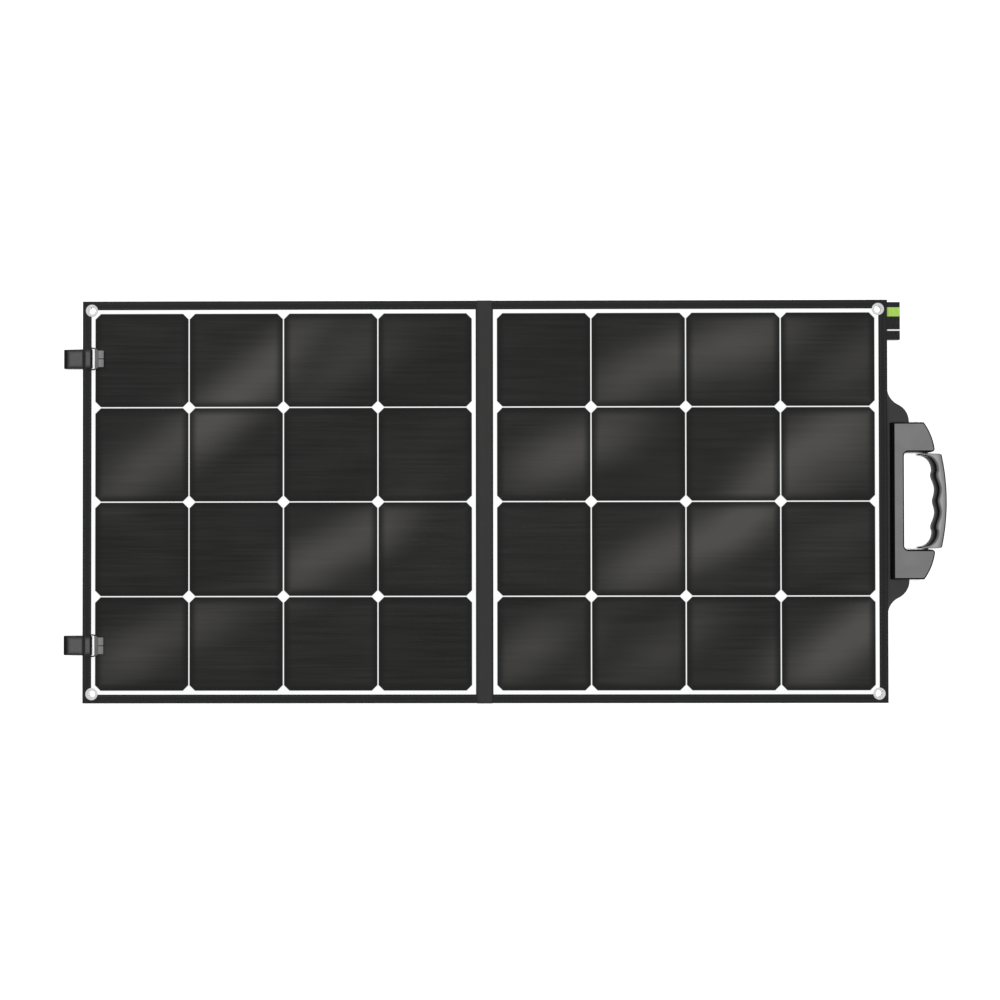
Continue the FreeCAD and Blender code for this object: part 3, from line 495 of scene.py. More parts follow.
PAINTS = {
    "case_fabric": fabric("case_fabric", grey(0.0185, 0.0005)),
    "flap_fabric": fabric("flap_fabric", grey(0.041, 0.0005)),
    "spine_fabric": fabric("spine_fabric", (0.0348, 0.0342, 0.0338), pitch=0.0008),
    "webbing": webbing_cloth("webbing", grey(0.080)),
    "zip_fabric": fabric("zip_fabric", grey(0.016), pitch=0.0009),
    "stiffener_board": plastic("stiffener_board", grey(0.06, 0.005), grain=500.0, rough=(0.5, 0.7)),
    "white_laminate": white_sheet("white_laminate"),
    "solar_cell": cell_glass("solar_cell"),
    # the eyelets' upright faces are painted near white, as painted light
    "eyelet_metal": metal(
        "eyelet_metal", grey(0.58), (0.3, 0.45), "Z",
        scratch=0.2, tarnish=0.93, metallic=0.1, wall=grey(0.93),
    ),
    # the handle's sides are painted near black as shade
    "handle_plastic": painted_light_plastic("handle_plastic", grey(0.146, 0.002), grey(0.0022)),
    # the buckle and prong plastics take darker edges: painted shade along their rounded edges
    "buckle_plastic": plastic("buckle_plastic", grey(0.106), grain=3000.0, edge_wear_and_shade=0.3, share=0.7),
    "prong_plastic": plastic("prong_plastic", grey(0.172), grain=3000.0, edge_wear_and_shade=0.3, share=0.7),
    "black_plastic": plastic("black_plastic", grey(0.014, 0.001), grain=2200.0, edge_wear_and_shade=1.8),
    "zip_plastic": plastic("zip_plastic", grey(0.02), grain=3500.0, rough=(0.3, 0.45)),
    "soft_rubber": plastic(
        "soft_rubber", grey(0.008), grain=1500.0, rough=(0.62, 0.8), edge_wear_and_shade=1.2, specular=0.03,
    ),
    "zip_metal": metal("zip_metal", grey(0.3, 0.01), (0.28, 0.45), "X"),
    "pin_steel": metal("pin_steel", grey(0.55, 0.01), (0.22, 0.4), "X"),
    "copper_lead": plastic("copper_lead", grey(0.02), grain=900.0, rough=(0.5, 0.7)),
    "thread": thread("case_thread", grey(0.04, 0.001)),
    "webbing_thread": thread("webbing_thread", grey(0.05)),
}


# ---- mesh building ----


def mesh_piece(name, points, faces, paint, smooth):
    """A mesh from points in millimetres. Edges that turn more than smooth degrees stay sharp."""
    mesh = bpy.data.meshes.new(name)
    mesh.from_pydata([tuple(c * MM for c in p) for p in points], [], faces)
    mesh.validate()
    work = bmesh.new()
    work.from_mesh(mesh)
    bmesh.ops.remove_doubles(work, verts=work.verts, dist=1e-6)
    bmesh.ops.recalc_face_normals(work, faces=work.faces)
    return finished(name, mesh, work, paint, smooth)


def finished(name, mesh, work, paint, smooth):
    """An object from a bmesh, shaded smooth except at its sharp edges."""
    for face in work.faces:
        face.smooth = True
    for edge in work.edges:
        if edge.is_manifold:
            edge.smooth = edge.calc_face_angle(0.0) < math.radians(smooth)
    work.to_mesh(mesh)
    work.free()
    piece = bpy.data.objects.new(name, mesh)
    bpy.context.scene.collection.objects.link(piece)
    mesh.materials.append(PAINTS[paint] if isinstance(paint, str) else paint)
    return piece


def place(piece, body, nodes=(), slot=None):
    """Puts a piece on a body; it may stand for CAD nodes, which it hides. The slot argument is not used."""
    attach(piece, body)
    if nodes:
        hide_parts(*nodes)


class Shell:
    """Points and faces collected from several parts."""

    def __init__(self):
        self.points, self.faces = [], []

    def add(self, points, faces):
        first = len(self.points)
        self.points += [tuple(p) for p in points]
        self.faces += [tuple(first + n for n in face) for face in faces]
        return self

    def grid(self, rows, keep=None):
        """Quads between rows of points; keep says which quads stay, by their middle."""
        wide = len(rows[0])
        points = [p for row in rows for p in row]
        faces = []
        for r in range(len(rows) - 1):
            for c in range(wide - 1):
                quad = (r * wide + c, r * wide + c + 1, (r + 1) * wide + c + 1, (r + 1) * wide + c)
                middle = sum((Vector(points[n]) for n in quad), Vector()) / 4
                if keep is None or keep(middle):
                    faces.append(quad)
        return self.add(points, faces)

    def rings(self, rings, caps=True):
        """A skin over closed rings of points, with flat ends if caps."""
        wide = len(rings[0])
        points = [p for ring in rings for p in ring]
        faces = []
        for r in range(len(rings) - 1):
            for c in range(wide):
                d = (c + 1) % wide
                faces.append((r * wide + c, r * wide + d, (r + 1) * wide + d, (r + 1) * wide + c))
        if caps:
            faces.append(tuple(reversed(range(wide))))
            faces.append(tuple(range((len(rings) - 1) * wide, len(rings) * wide)))
        return self.add(points, faces)

    def make(self, name, paint, smooth=35):
        return mesh_piece(name, self.points, self.faces, paint, smooth)


def circle(centre, radius, first, second, steps):
    """Points round a centre, in the plane of two square directions."""
    found = []
    for n in range(steps):
        turn = TAU * n / steps
        found.append(tuple(centre + radius * (math.cos(turn) * first + math.sin(turn) * second)))
    return found


def outline(low, high, radii, inset, steps):
    """A rectangle with rounded corners, from the low-x, low-y corner round."""
    (x0, y0), (x1, y1) = low, high
    x0, y0, x1, y1 = x0 + inset, y0 + inset, x1 - inset, y1 - inset
    found = []
    corners = [(x0, y0, 180), (x1, y0, 270), (x1, y1, 0), (x0, y1, 90)]
    for (x, y, start), radius in zip(corners, radii):
        r = max(radius - inset, 0.05)
        centre = (x + r if x == x0 else x - r, y + r if y == y0 else y - r)
        for n in range(steps + 1):
            turn = math.radians(start + 90 * n / steps)
            found.append((centre[0] + r * math.cos(turn), centre[1] + r * math.sin(turn)))
    return found


def slab(shell, low, high, radii, profile, steps):
    """A rounded-rectangle slab; profile is (inset, level) from the bottom up."""
    rings = [[(x, y, z) for x, y in outline(low, high, radii, inset, steps)] for inset, z in profile]
    return shell.rings(rings)


def lathe(shell, centre, profile, steps=48):
    """A ring turned about a vertical axis; the profile closes on itself."""
    x, y = centre[0], centre[1]
    rings = []
    for radius, level in [*profile, profile[0]]:
        rings.append(circle(Vector((x, y, level)), radius, Vector((1, 0, 0)), Vector((0, 1, 0)), steps))
    return shell.rings(rings, caps=False)


def tube(shell, path, radius, steps):
    """A round wire along a path."""
    points = [Vector(p) for p in path]
    rings = []
    for n, point in enumerate(points):
        way = (points[min(n + 1, len(points) - 1)] - points[max(n - 1, 0)]).normalized()
        side = way.cross(Vector((0.0, 0.3, 1.0))).normalized()
        up = side.cross(way)
        rings.append(circle(point, radius, side, up, steps))
    shell.rings(rings)


# Along a stitch: its place as a share of the length, and its lift and thickness as shares of the radius.
STITCH = (
    (-0.5, -0.45, 0.35),
    (-0.36, 0.25, 0.85),
    (0.0, 0.5, 1.0),
    (0.36, 0.25, 0.85),
    (0.5, -0.45, 0.35),
)
STITCH_SIDES = 6


def stitch_run(shell, start, end, up, pitch=3.6, long=2.9, radius=0.26):
    """A straight row of stitches; each rises from the cloth and dips back into it."""
    start, end, up = Vector(start), Vector(end), Vector(up)
    way = (end - start).normalized()
    side = way.cross(up).normalized()
    count = max(int((end - start).length / pitch), 1)
    step = (end - start) / count
    for n in range(count):
        middle = start + step * (n + 0.5)
        skew = random.uniform(-0.04, 0.04)
        rings = []
        for share, lift, fat in STITCH:
            centre = middle + way * share * long + up * lift * radius + side * skew * share * long
            rings.append(circle(centre, radius * fat, side, up, STITCH_SIDES))
        shell.rings(rings)


def stitch_path(shell, path, up, **style):
    """Stitches along each leg of a path that is long enough for one."""
    for start, end in zip(path, path[1:]):
        if (Vector(end) - Vector(start)).length > 1.5:
            stitch_run(shell, start, end, up, **style)


HARD_EDGE = 40


def softened(node, width):
    """The CAD node's shape with its hard edges rounded."""
    mesh = frame["nodes"][node].data.copy()
    work = bmesh.new()
    work.from_mesh(mesh)
    bmesh.ops.remove_doubles(work, verts=work.verts, dist=2e-6)
    bmesh.ops.dissolve_limit(work, angle_limit=math.radians(1.0), verts=work.verts, edges=work.edges)
    limit = math.radians(HARD_EDGE)
    hard = [e for e in work.edges if e.is_manifold and e.calc_face_angle(0.0) > limit]
    bmesh.ops.bevel(
        work, geom=hard, offset=width * MM, offset_type="OFFSET", segments=2, profile=0.5,
        affect="EDGES", clamp_overlap=True,
    )
    mesh.materials.clear()
    piece = finished(f"{node}_body", mesh, work, NODE_SLOT[node], HARD_EDGE)
    place(piece, NODE_BODY[node], [node], NODE_SLOT[node])


def spread(low, high, coarse, fine=(), reach=0.0, step=1.0):
    """Rising values from low to high: coarse, and close together near the values in fine."""
    values = {low, high}
    count = max(int((high - low) / coarse), 1)
    values |= {low + (high - low) * n / count for n in range(count + 1)}
    for middle in fine:
        count = int(2 * reach / step)
        values |= {v for v in (middle - reach + step * n for n in range(count + 1)) if low < v < high}
    kept = []
    for value in sorted(values):
        if not kept or value - kept[-1] > 0.25 * step:
            kept.append(value)
    kept[-1] = high
    return kept


# ---- the two halves ----

FRONT = box("right_border")[1].z
SEAM = box("right_border")[0].z
BACK = box("right_back_cover")[0].z
EDGE_Y = box("right_border")[1].y
LAM_Y = box("right_laminate")[1].y
HEM_ROUND = 2.0
HEM_ROWS = (0.30, 0.80)  # where the two rows of stitches run, as shares of the hem's width
HEM_STEP = 7.0
EYELET_HOLE = 7.0  # clear of cloth round an eyelet's middle
EYELET_GAP = 21.5  # from a corner to the nearest stitch


def eyelet_centre(side, level):
    low, high = box(f"{side}_{level}_eyelet")
    return (low + high) / 2


def clear_of_eyelets(side, radius):
    """A test for Shell.grid: is a quad's middle outside every eyelet's hole?"""
    centres = [eyelet_centre(side, level) for level in LEVELS]

    def clear(middle):
        return all(math.hypot(middle.x - c.x, middle.y - c.y) > radius for c in centres)

    return clear


def hem_section(width):
    """(inset, level) over the hem, from the seam at the edge to the lip on the laminate."""
    rounded = [
        (HEM_ROUND * (1 - math.cos(a)), FRONT - HEM_ROUND * (1 - math.sin(a)))
        for a in (math.radians(15 * n) for n in range(7))
    ]
    flat = []
    for n in range(1, 11):
        inset = HEM_ROUND + (width - HEM_ROUND - 0.3) * n / 10
        share = inset / width
        puff = 0.22 * math.sin(math.pi * share)
        for row in HEM_ROWS:
            puff -= 0.20 * math.exp(-(((share - row) * width / 0.9) ** 2))
        flat.append((inset, FRONT + puff))
    wall = [(0.35, SEAM), (0.0, SEAM + 0.4), (0.0, SEAM + 2.4)]
    return [*wall, *rounded, *flat, (width, FRONT - 0.15), (width, FRONT - 0.42)]


def between(start, end, share):
    """The point a share of the way from start to end."""
    return [a + (b - a) * share for a, b in zip(start, end)]


def make_hem(side):
    """The sewn edge round three sides of a half, and the low lip along its crease."""
    sign = SIDES[side]
    low, high = box(f"{side}_border")
    lam_low, lam_high = box(f"{side}_laminate")
    edge_x, crease_x = (high.x, low.x) if sign > 0 else (low.x, high.x)
    lam_x = lam_high.x if sign > 0 else lam_low.x
    width = abs(edge_x - lam_x)
    shell = Shell()
    clear = clear_of_eyelets(side, EYELET_HOLE)
    section = hem_section(width)

    def across(outer, inner):
        """The hem's section from a point on the edge to one on the lip."""
        return [(*between(outer, inner, inset / width), level) for inset, level in section]

    def strip(outer, inner, places):
        """Hem between two sections; outer and inner are pairs of points, places are shares between them."""
        shell.grid([across(between(*outer, share), between(*inner, share)) for share in places], clear)

    def closer(length, fine):
        """Shares of a length, closer together near the places in fine."""
        return [v / length for v in spread(0.0, length, HEM_STEP, fine, 12.0, 0.9)]

    fan = [n / 16 for n in range(17)]
    for way in (-1, 1):
        y_out, y_in = way * EDGE_Y, way * LAM_Y
        run = abs(lam_x - crease_x)
        corner = (lam_x, y_in)
        strip(((crease_x, y_out), (lam_x, y_out)), ((crease_x, y_in), corner), closer(run, [run]))
        strip(((lam_x, y_out), (edge_x, y_out)), (corner, corner), fan)
        strip(((edge_x, y_out), (edge_x, y_in)), (corner, corner), fan)
        cap = across((crease_x, y_out), (crease_x, y_in))
        cap.append((crease_x, y_in, SEAM))
        shell.add(cap, [tuple(range(len(cap)))])
    ends = closer(2 * LAM_Y, [0.0, 2 * LAM_Y])
    strip(((edge_x, -LAM_Y), (edge_x, LAM_Y)), ((lam_x, -LAM_Y), (lam_x, LAM_Y)), ends)

    wall = [
        (0.0, SEAM), (0.0, FRONT - 0.9), (0.12, FRONT - 0.35), (0.45, FRONT),
        (0.9, FRONT + 0.08), (1.3, FRONT - 0.1), (1.5, FRONT - 0.42),
    ]
    lengthwise = spread(-LAM_Y, LAM_Y, 12.0)
    shell.grid([[(crease_x + sign * inset, y, level) for inset, level in wall] for y in lengthwise])
    hem = shell.make(f"{side}_edge_fabric", "case_fabric", smooth=50)
    place(hem, f"{side}_half", [f"{side}_border"], "case_fabric")

    seams = Shell()
    for row in HEM_ROWS:
        y_row = EDGE_Y - row * (EDGE_Y - LAM_Y)
        x_row = edge_x - sign * row * width
        start, stop = crease_x + sign * 2.0, edge_x - sign * EYELET_GAP
        level = FRONT + 0.02
        for way in (-1, 1):
            stitch_run(seams, (start, way * y_row, level), (stop, way * y_row, level), UP)
        y_stop = EDGE_Y - EYELET_GAP
        stitch_run(seams, (x_row, -y_stop, level), (x_row, y_stop, level), UP)
    place(seams.make(f"{side}_edge_stitches", "thread"), f"{side}_half")


def with_marks(values, marks):
    """The values, with the ones next to a mark replaced by the mark."""
    return sorted({v for v in values if min(abs(v - m) for m in marks) > 1.5} | set(marks))


def make_back(side):
    """The back cover: one piece of cloth drawn over the board and sewn at its edge."""
    low, high = box(f"{side}_back_cover")
    clear = clear_of_eyelets(side, EYELET_HOLE)
    hole = box("junction_box_tray") if side == "right" else None
    centre = eyelet_centre(side, "upper")
    xs = spread(low.x, high.x, 9.0, [centre.x], 14.0, 1.0)
    ys = spread(low.y, high.y, 9.0, [centre.y, -centre.y], 14.0, 1.0)
    if hole:
        xs = with_marks(xs, [corner.x for corner in hole])
        ys = with_marks(ys, [corner.y for corner in hole])

    def keep(middle):
        inside = hole and hole[0].x < middle.x < hole[1].x and hole[0].y < middle.y < hole[1].y
        return clear(middle) and not inside

    rim_level = BACK + 0.35

    def level(x, y):
        rim = min(x - low.x, high.x - x, y - low.y, high.y - y)
        if rim < 0.01:
            return rim_level
        drawn = min(rim / 24.0, 1.0)
        wrinkle = noise.noise(Vector((x * 0.022, y * 0.022, 3.0 * SIDES[side])))
        return BACK + 0.16 * drawn * wrinkle - 0.05

    shell = Shell()
    shell.grid([[(x, y, level(x, y)) for y in ys] for x in xs], keep)
    corners = [(low.x, low.y), (high.x, low.y), (high.x, high.y), (low.x, high.y)]
    uprights = [[(x, y, z) for z in (rim_level, (BACK + SEAM) / 2, SEAM)] for x, y in corners]
    for n in range(4):
        shell.grid([uprights[n], uprights[(n + 1) % 4]])
    cloth = shell.make(f"{side}_back_fabric", "case_fabric", smooth=50)
    place(cloth, f"{side}_half", [f"{side}_back_cover"], "case_fabric")
    seams = Shell()
    seam_level = BACK - 0.02
    short_low, short_high = (2.0, EYELET_GAP) if SIDES[side] > 0 else (EYELET_GAP, 2.0)
    for inset in (4.5, 9.0):
        x0, x1 = low.x + short_low, high.x - short_high
        for y in (low.y + inset, high.y - inset):
            stitch_run(seams, (x0, y, seam_level), (x1, y, seam_level), DOWN)
        for x, short in ((low.x + inset, short_low), (high.x - inset, short_high)):
            stitch_run(seams, (x, low.y + short, seam_level), (x, high.y - short, seam_level), DOWN)
    place(seams.make(f"{side}_back_stitches", "thread"), f"{side}_half")


def make_eyelets(side):
    """The eyelets through the two outer corners of a half, and the washers behind them."""
    half = f"{side}_half"
    for level in LEVELS:
        node = f"{side}_{level}_eyelet"
        low, high = box(node)
        top, bottom, ring = high.z, low.z, (high.x - low.x) / 2
        profile = [
            (5.0, bottom + 0.15), (5.0, top - 0.7), (5.08, top - 0.4), (5.35, top - 0.12), (5.9, top),
            (6.6, top - 0.02), (7.4, top - 0.16), (ring - 0.22, top - 0.42), (ring, top - 0.66),
            (ring - 0.1, top - 0.8), (5.6, top - 0.8), (5.6, bottom + 0.15),
        ]
        piece = lathe(Shell(), (low + high) / 2, profile).make(f"{node}_ring", "eyelet_metal")
        place(piece, half, [node], "eyelet_metal")
    washers = f"{side}_eyelet_washers"
    low, high = box(washers)
    profile = [
        (5.62, high.z), (5.3, high.z - 0.3), (5.05, low.z + 0.25), (5.4, low.z + 0.02),
        (6.1, low.z - 0.05), (7.1, low.z + 0.08), (7.9, low.z + 0.3), (8.25, high.z - 0.12), (8.2, high.z),
    ]
    shell = Shell()
    for level in LEVELS:
        lathe(shell, eyelet_centre(side, level), profile)
    place(shell.make(f"{side}_eyelet_collars", "eyelet_metal"), half, [washers], "eyelet_metal")


STAND_THICK = 4.0
STAND_LEAF_Y = 80  # above this the hinge leaves cover the sleeve's underside


def make_stand(side):
    """A board in a sewn fabric sleeve, with a bound edge."""
    stand = f"{side}_stand"
    low, high = box(stand)
    radii = (14.0, 14.0, 1.2, 1.2)
    lower = [(7.2, 0.32), (6.6, 0.12), (1.6, 0.02), (0.7, 0.28), (0.15, 0.95)]
    upper = [(inset, STAND_THICK - level) for inset, level in reversed(lower)]
    shell = slab(Shell(), low.xy, high.xy, radii, [*lower, (0.0, 2.0), *upper], 8)
    place(shell.make(f"{stand}_sleeve", "case_fabric", smooth=50), stand, [stand], "case_fabric")
    seams = Shell()
    corners = outline(low.xy, high.xy, radii, 5.2, 8)
    under = [(x, y, 0.08) for x, y in corners if y < STAND_LEAF_Y]
    stitch_path(seams, under, DOWN, radius=0.22)
    top = [(x, y, 3.92) for x, y in corners]
    stitch_path(seams, [*top, top[0]], UP, radius=0.22)
    place(seams.make(f"{stand}_stitches", "thread"), stand)


for side in SIDES:
    make_hem(side)
    make_back(side)
    make_eyelets(side)
    make_stand(side)


# ---- spine ----

CREASE = 10.25  # from the spine's middle to where it folds
BEND = 2.0  # the part of that which bends
SPINE_OVER = 0.8  # past the halves at each end


def make_spine():
    """The cloth between the halves: a little proud along its middle, and bent at both creases."""
    top, back = box("spine_front")[1].z, box("spine_back")[0].z
    proud = ((0.0, 0.20), (2.0, 0.19), (4.0, 0.13), (5.6, 0.02), (8.0, 0.0))
    bend = [CREASE - BEND + 0.25 * n for n in range(9)]
    over = [*((out, top + lift) for out, lift in proud), *((out, top) for out in bend[1:])]
    under = [(out, back) for out in (*reversed(bend), 4.5, 0.0)]
    end_y = EDGE_Y + SPINE_OVER
    for side, sign in SIDES.items():
        rings = []
        for y in spread(-end_y, end_y, 9.0):
            sag = 0.10 * noise.noise(Vector((0.03 * y, 2.0, 5.0)))
            ring = [(SPINE_X + sign * out, y, level + sag) for out, level in over]
            rings.append(ring + [(SPINE_X + sign * out, y, level) for out, level in under])
        cloth = Shell().rings(rings).make(f"spine_cloth_{side}", "spine_fabric", smooth=50)
        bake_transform(cloth)
        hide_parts(*(["spine_front"] if sign > 0 else ["spine_back"]))
    seams = Shell()
    for x in (SPINE_X - 5.6, SPINE_X + 5.6):
        stitch_run(seams, (x, -EDGE_Y + 3, top), (x, EDGE_Y - 3, top), UP, radius=0.2)
        stitch_run(seams, (x, -EDGE_Y + 3, back), (x, EDGE_Y - 3, back), DOWN)
    place(seams.make("spine_stitches", "thread"), "spine")


make_spine()


# ---- handle ----

FLAP_OUT = 29.1  # how far the flap stands out of the edge
FLAP_SWEEP = 46.0  # how much of the edge each sweep takes
FLAP_HALF = 153.0


def make_flap():
    """The stiffened cloth that carries the handle, swept out of the edge by two arcs at each end."""
    low, high = box("handle_tongue")
    edge_x = box("right_border")[1].x
    near = edge_x - 0.6
    middle, thick = (low.z + high.z) / 2, high.z - low.z
    turn = 2 * math.atan(FLAP_OUT / FLAP_SWEEP)
    radius = FLAP_SWEEP / (2 * math.sin(turn))
    bracket_x = box("bracket_upper_shell")[0].x + 12.0

    def fall(run):
        """How far one arc has curved away after run."""
        return radius - math.sqrt(max(radius * radius - run * run, 0.0))

    def out(y):
        """How far the flap stands out of the edge at y."""
        run = FLAP_HALF - abs(y)
        if run <= FLAP_SWEEP / 2:
            return fall(run)
        return FLAP_OUT - fall(max(FLAP_SWEEP - run, 0.0))

    def top(x):
        """The flap's top, which climbs to the hem next to it."""
        slope = max(0.0, 1 - (x - near) / 4.5)
        return high.z + 2.4 * slope * slope

    shell = Shell()
    rings = []
    turn_y = FLAP_HALF - FLAP_SWEEP / 2
    for y in spread(-FLAP_HALF, FLAP_HALF, 8.0, (turn_y, -turn_y), 24.0, 1.6):
        far = edge_x + out(y)
        if abs(y) < 68.0:
            far = min(far, bracket_x)
        flat = max(far - near - 1.0, 0.0)
        xs = (near + flat * share for share in (0.0, 0.04, 0.12, 0.25, 0.5, 0.8))
        ring = [(x, y, top(x)) for x in xs]
        for turned in (90, 50, 0, -50, -90):
            a = math.radians(turned)
            ring.append((far - 1.0 + math.cos(a), y, middle + thick / 2 * math.sin(a)))
        ring.append((near, y, low.z))
        rings.append(ring)
    flap = shell.rings(rings).make("handle_flap", "flap_fabric", smooth=50)
    place(flap, "right_half", ["handle_tongue"], "case_fabric")
    seams = Shell()
    for way in (-1, 1):
        path = []
        for n in range(25):
            y = way * (150.0 - 2.0 * n)
            x = edge_x + out(y) - 3.2
            if x > edge_x + 1.5 and abs(y) > 103:
                path.append((x, y, top(x) + 0.05))
        stitch_path(seams, path, UP, pitch=2.4, long=2.0, radius=0.2)
    place(seams.make("handle_flap_stitches", "thread"), "right_half")


def make_label():
    """A woven label folded round at its outer end, and curled up a little halfway along."""
    low, high = box("side_label")
    middle, half = (low.z + high.z) / 2, (high.z - low.z) / 2
    wide, long = high.x - low.x, high.y - low.y

    def layer(y, curl, share, way):
        level = middle + way * half * (0.7 + 0.3 * share) + curl * share
        return (low.x - 0.5 + wide * share, y, level)

    rings = []
    for y in spread(low.y, high.y, 3.0):
        curl = 0.25 * math.sin(math.pi * (y - low.y) / long)
        ring = [layer(y, curl, share, 1) for share in (0.0, 0.25, 0.5, 0.75, 0.9)]
        for turned in (60, 20, -20, -60):
            a = math.radians(turned)
            ring.append((high.x - 0.6 + 0.6 * math.cos(a), y, middle + curl + half * math.sin(a)))
        rings.append(ring + [layer(y, curl, share, -1) for share in (0.9, 0.5, 0.0)])
    cloth = label_cloth("label_fabric", low.y, long)
    piece = Shell().rings(rings).make("side_label_cloth", cloth, smooth=50)
    place(piece, NODE_BODY["side_label"], ["side_label"], "label_fabric")
    seams = Shell()
    x, z = low.x + 1.4, high.z + 0.1
    stitch_run(seams, (x, low.y + 1.5, z), (x, high.y - 1.5, z), UP, pitch=2.6, long=2.1, radius=0.2)
    place(seams.make("side_label_stitches", "thread"), NODE_BODY["side_label"])


make_flap()
make_label()


# ---- closing straps ----

WEBBING_THICK = 1.5
WEBBING_EDGE = ((0.15, 0.6), (0.45, 0.92), (1.35, 1.0))  # in from the edge, share of the full thickness


def band(path, low_y, high_y):
    """Webbing along a path of (x, z) points, with rounded edges."""
    middle = (low_y + high_y) / 2
    rise = [(low_y + inset, share) for inset, share in WEBBING_EDGE]
    fall = [(high_y - inset, share) for inset, share in reversed(WEBBING_EDGE)]
    over = [*rise, (middle, 1.02), *fall]
    under = [(y, -share) for y, share in reversed(over)]
    section = [(low_y, 0.0), *over, (high_y, 0.0), *under]
    points = [Vector((x, z)) for x, z in path]
    rings = []
    for n, point in enumerate(points):
        way = (points[min(n + 1, len(points) - 1)] - points[max(n - 1, 0)]).normalized()
        out = Vector((-way.y, way.x)) * WEBBING_THICK / 2
        ring = [(point + out * share, y) for y, share in section]
        rings.append([(at.x, y, at.y) for at, y in ring])
    return Shell().rings(rings)


def line_to(start, end):
    """Points on a straight line, about 1.5 mm apart."""
    count = max(int(math.dist(start, end) / 1.5), 1)
    return [tuple(between(start, end, n / count)) for n in range(count + 1)]


def arc(centre, radius, start, end, count):
    """Points on an arc about (x, z), from one angle to another in degrees."""
    found = []
    for n in range(count + 1):
        turn = math.radians(start + (end - start) * n / count)
        found.append((centre[0] + radius * math.cos(turn), centre[1] + radius * math.sin(turn)))
    return found


LOOP_RADIUS = 2.33  # the webbing's middle, round the bar
FOLD_TOP = 10.25  # the level of the webbing's middle just past its fold


def make_webbing(name, bar):
    """One strap: a root from the half, a fold, and an end that goes round the bar and is sewn down."""
    root_low, root_high = box(f"{name}_strap_root")
    low_y, high_y = root_low.y + 0.05, root_high.y - 0.05
    level = (root_low.z + root_high.z) / 2
    fold_x = root_low.x + 1.6
    fold_r = (FOLD_TOP - level) / 2

    lower = line_to((box(f"{name}_strap_anchor")[1].x - 3.0, level), (fold_x, level))
    piece = band(lower, low_y, high_y).make(f"{name}_webbing_root", "webbing", smooth=50)
    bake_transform(piece)
    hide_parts(f"{name}_strap_anchor", f"{name}_strap_root")

    def by_bar(*places):
        """Points given as (distance behind the bar, height above it)."""
        return [(bar[0] - out, bar[1] + up) for out, up in places]

    hump = by_bar((TUCK_IN + 4.3, -1.0))[0]
    rise = math.degrees(math.atan2(hump[1] - level - 2 * fold_r, hump[0] - fold_x))
    turn = arc((fold_x, level + fold_r), fold_r, 270, 90 + rise, 10)
    upper = turn + line_to(turn[-1], hump)[1:]
    upper += by_bar((TUCK_IN + 2.6, -0.72), (TUCK_IN + 1.2, -0.86), (TUCK_IN, -1.12), (TUCK_IN - 1.0, -0.8))
    upper += by_bar((5.9, 0.35), (4.4, 1.45), (2.7, 2.1))
    upper += arc(bar, LOOP_RADIUS, 112, -118, 16)
    upper += by_bar((3.2, -2.25), (5.4, -2.2), (TUCK_IN, -2.62), (TUCK_IN + 3.0, -2.7))
    piece = band(upper, low_y, high_y).make(f"{name}_webbing_end", "webbing", smooth=50)
    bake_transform(piece)
    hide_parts(f"{name}_strap_end")

    seams = Shell()
    for x, z in by_bar((TUCK_IN - 0.5, -0.2), (TUCK_IN + 1.3, -0.06)):
        stitch_run(seams, (x, low_y + 1.6, z), (x, high_y - 1.6, z), UP, pitch=1.5, long=1.7)
    place(seams.make(f"{name}_strap_stitches", "webbing_thread"), f"{name}_strap_end")
    return (low_y + high_y) / 2


# The tongue, seen from above: x from the bar, y from its middle.
WIRE_BENDS = ((-2.2, 14.0), (-1.2, 14.2), (0.4, 14.4), (2.6, 14.5), (4.6, 14.4), (6.2, 13.9), (7.8, 13.0))
CLIP_NEAR, CLIP_FAR = 6.4, 11.7
CLIP_HALF_NEAR, CLIP_HALF_FAR = 13.6, 11.6


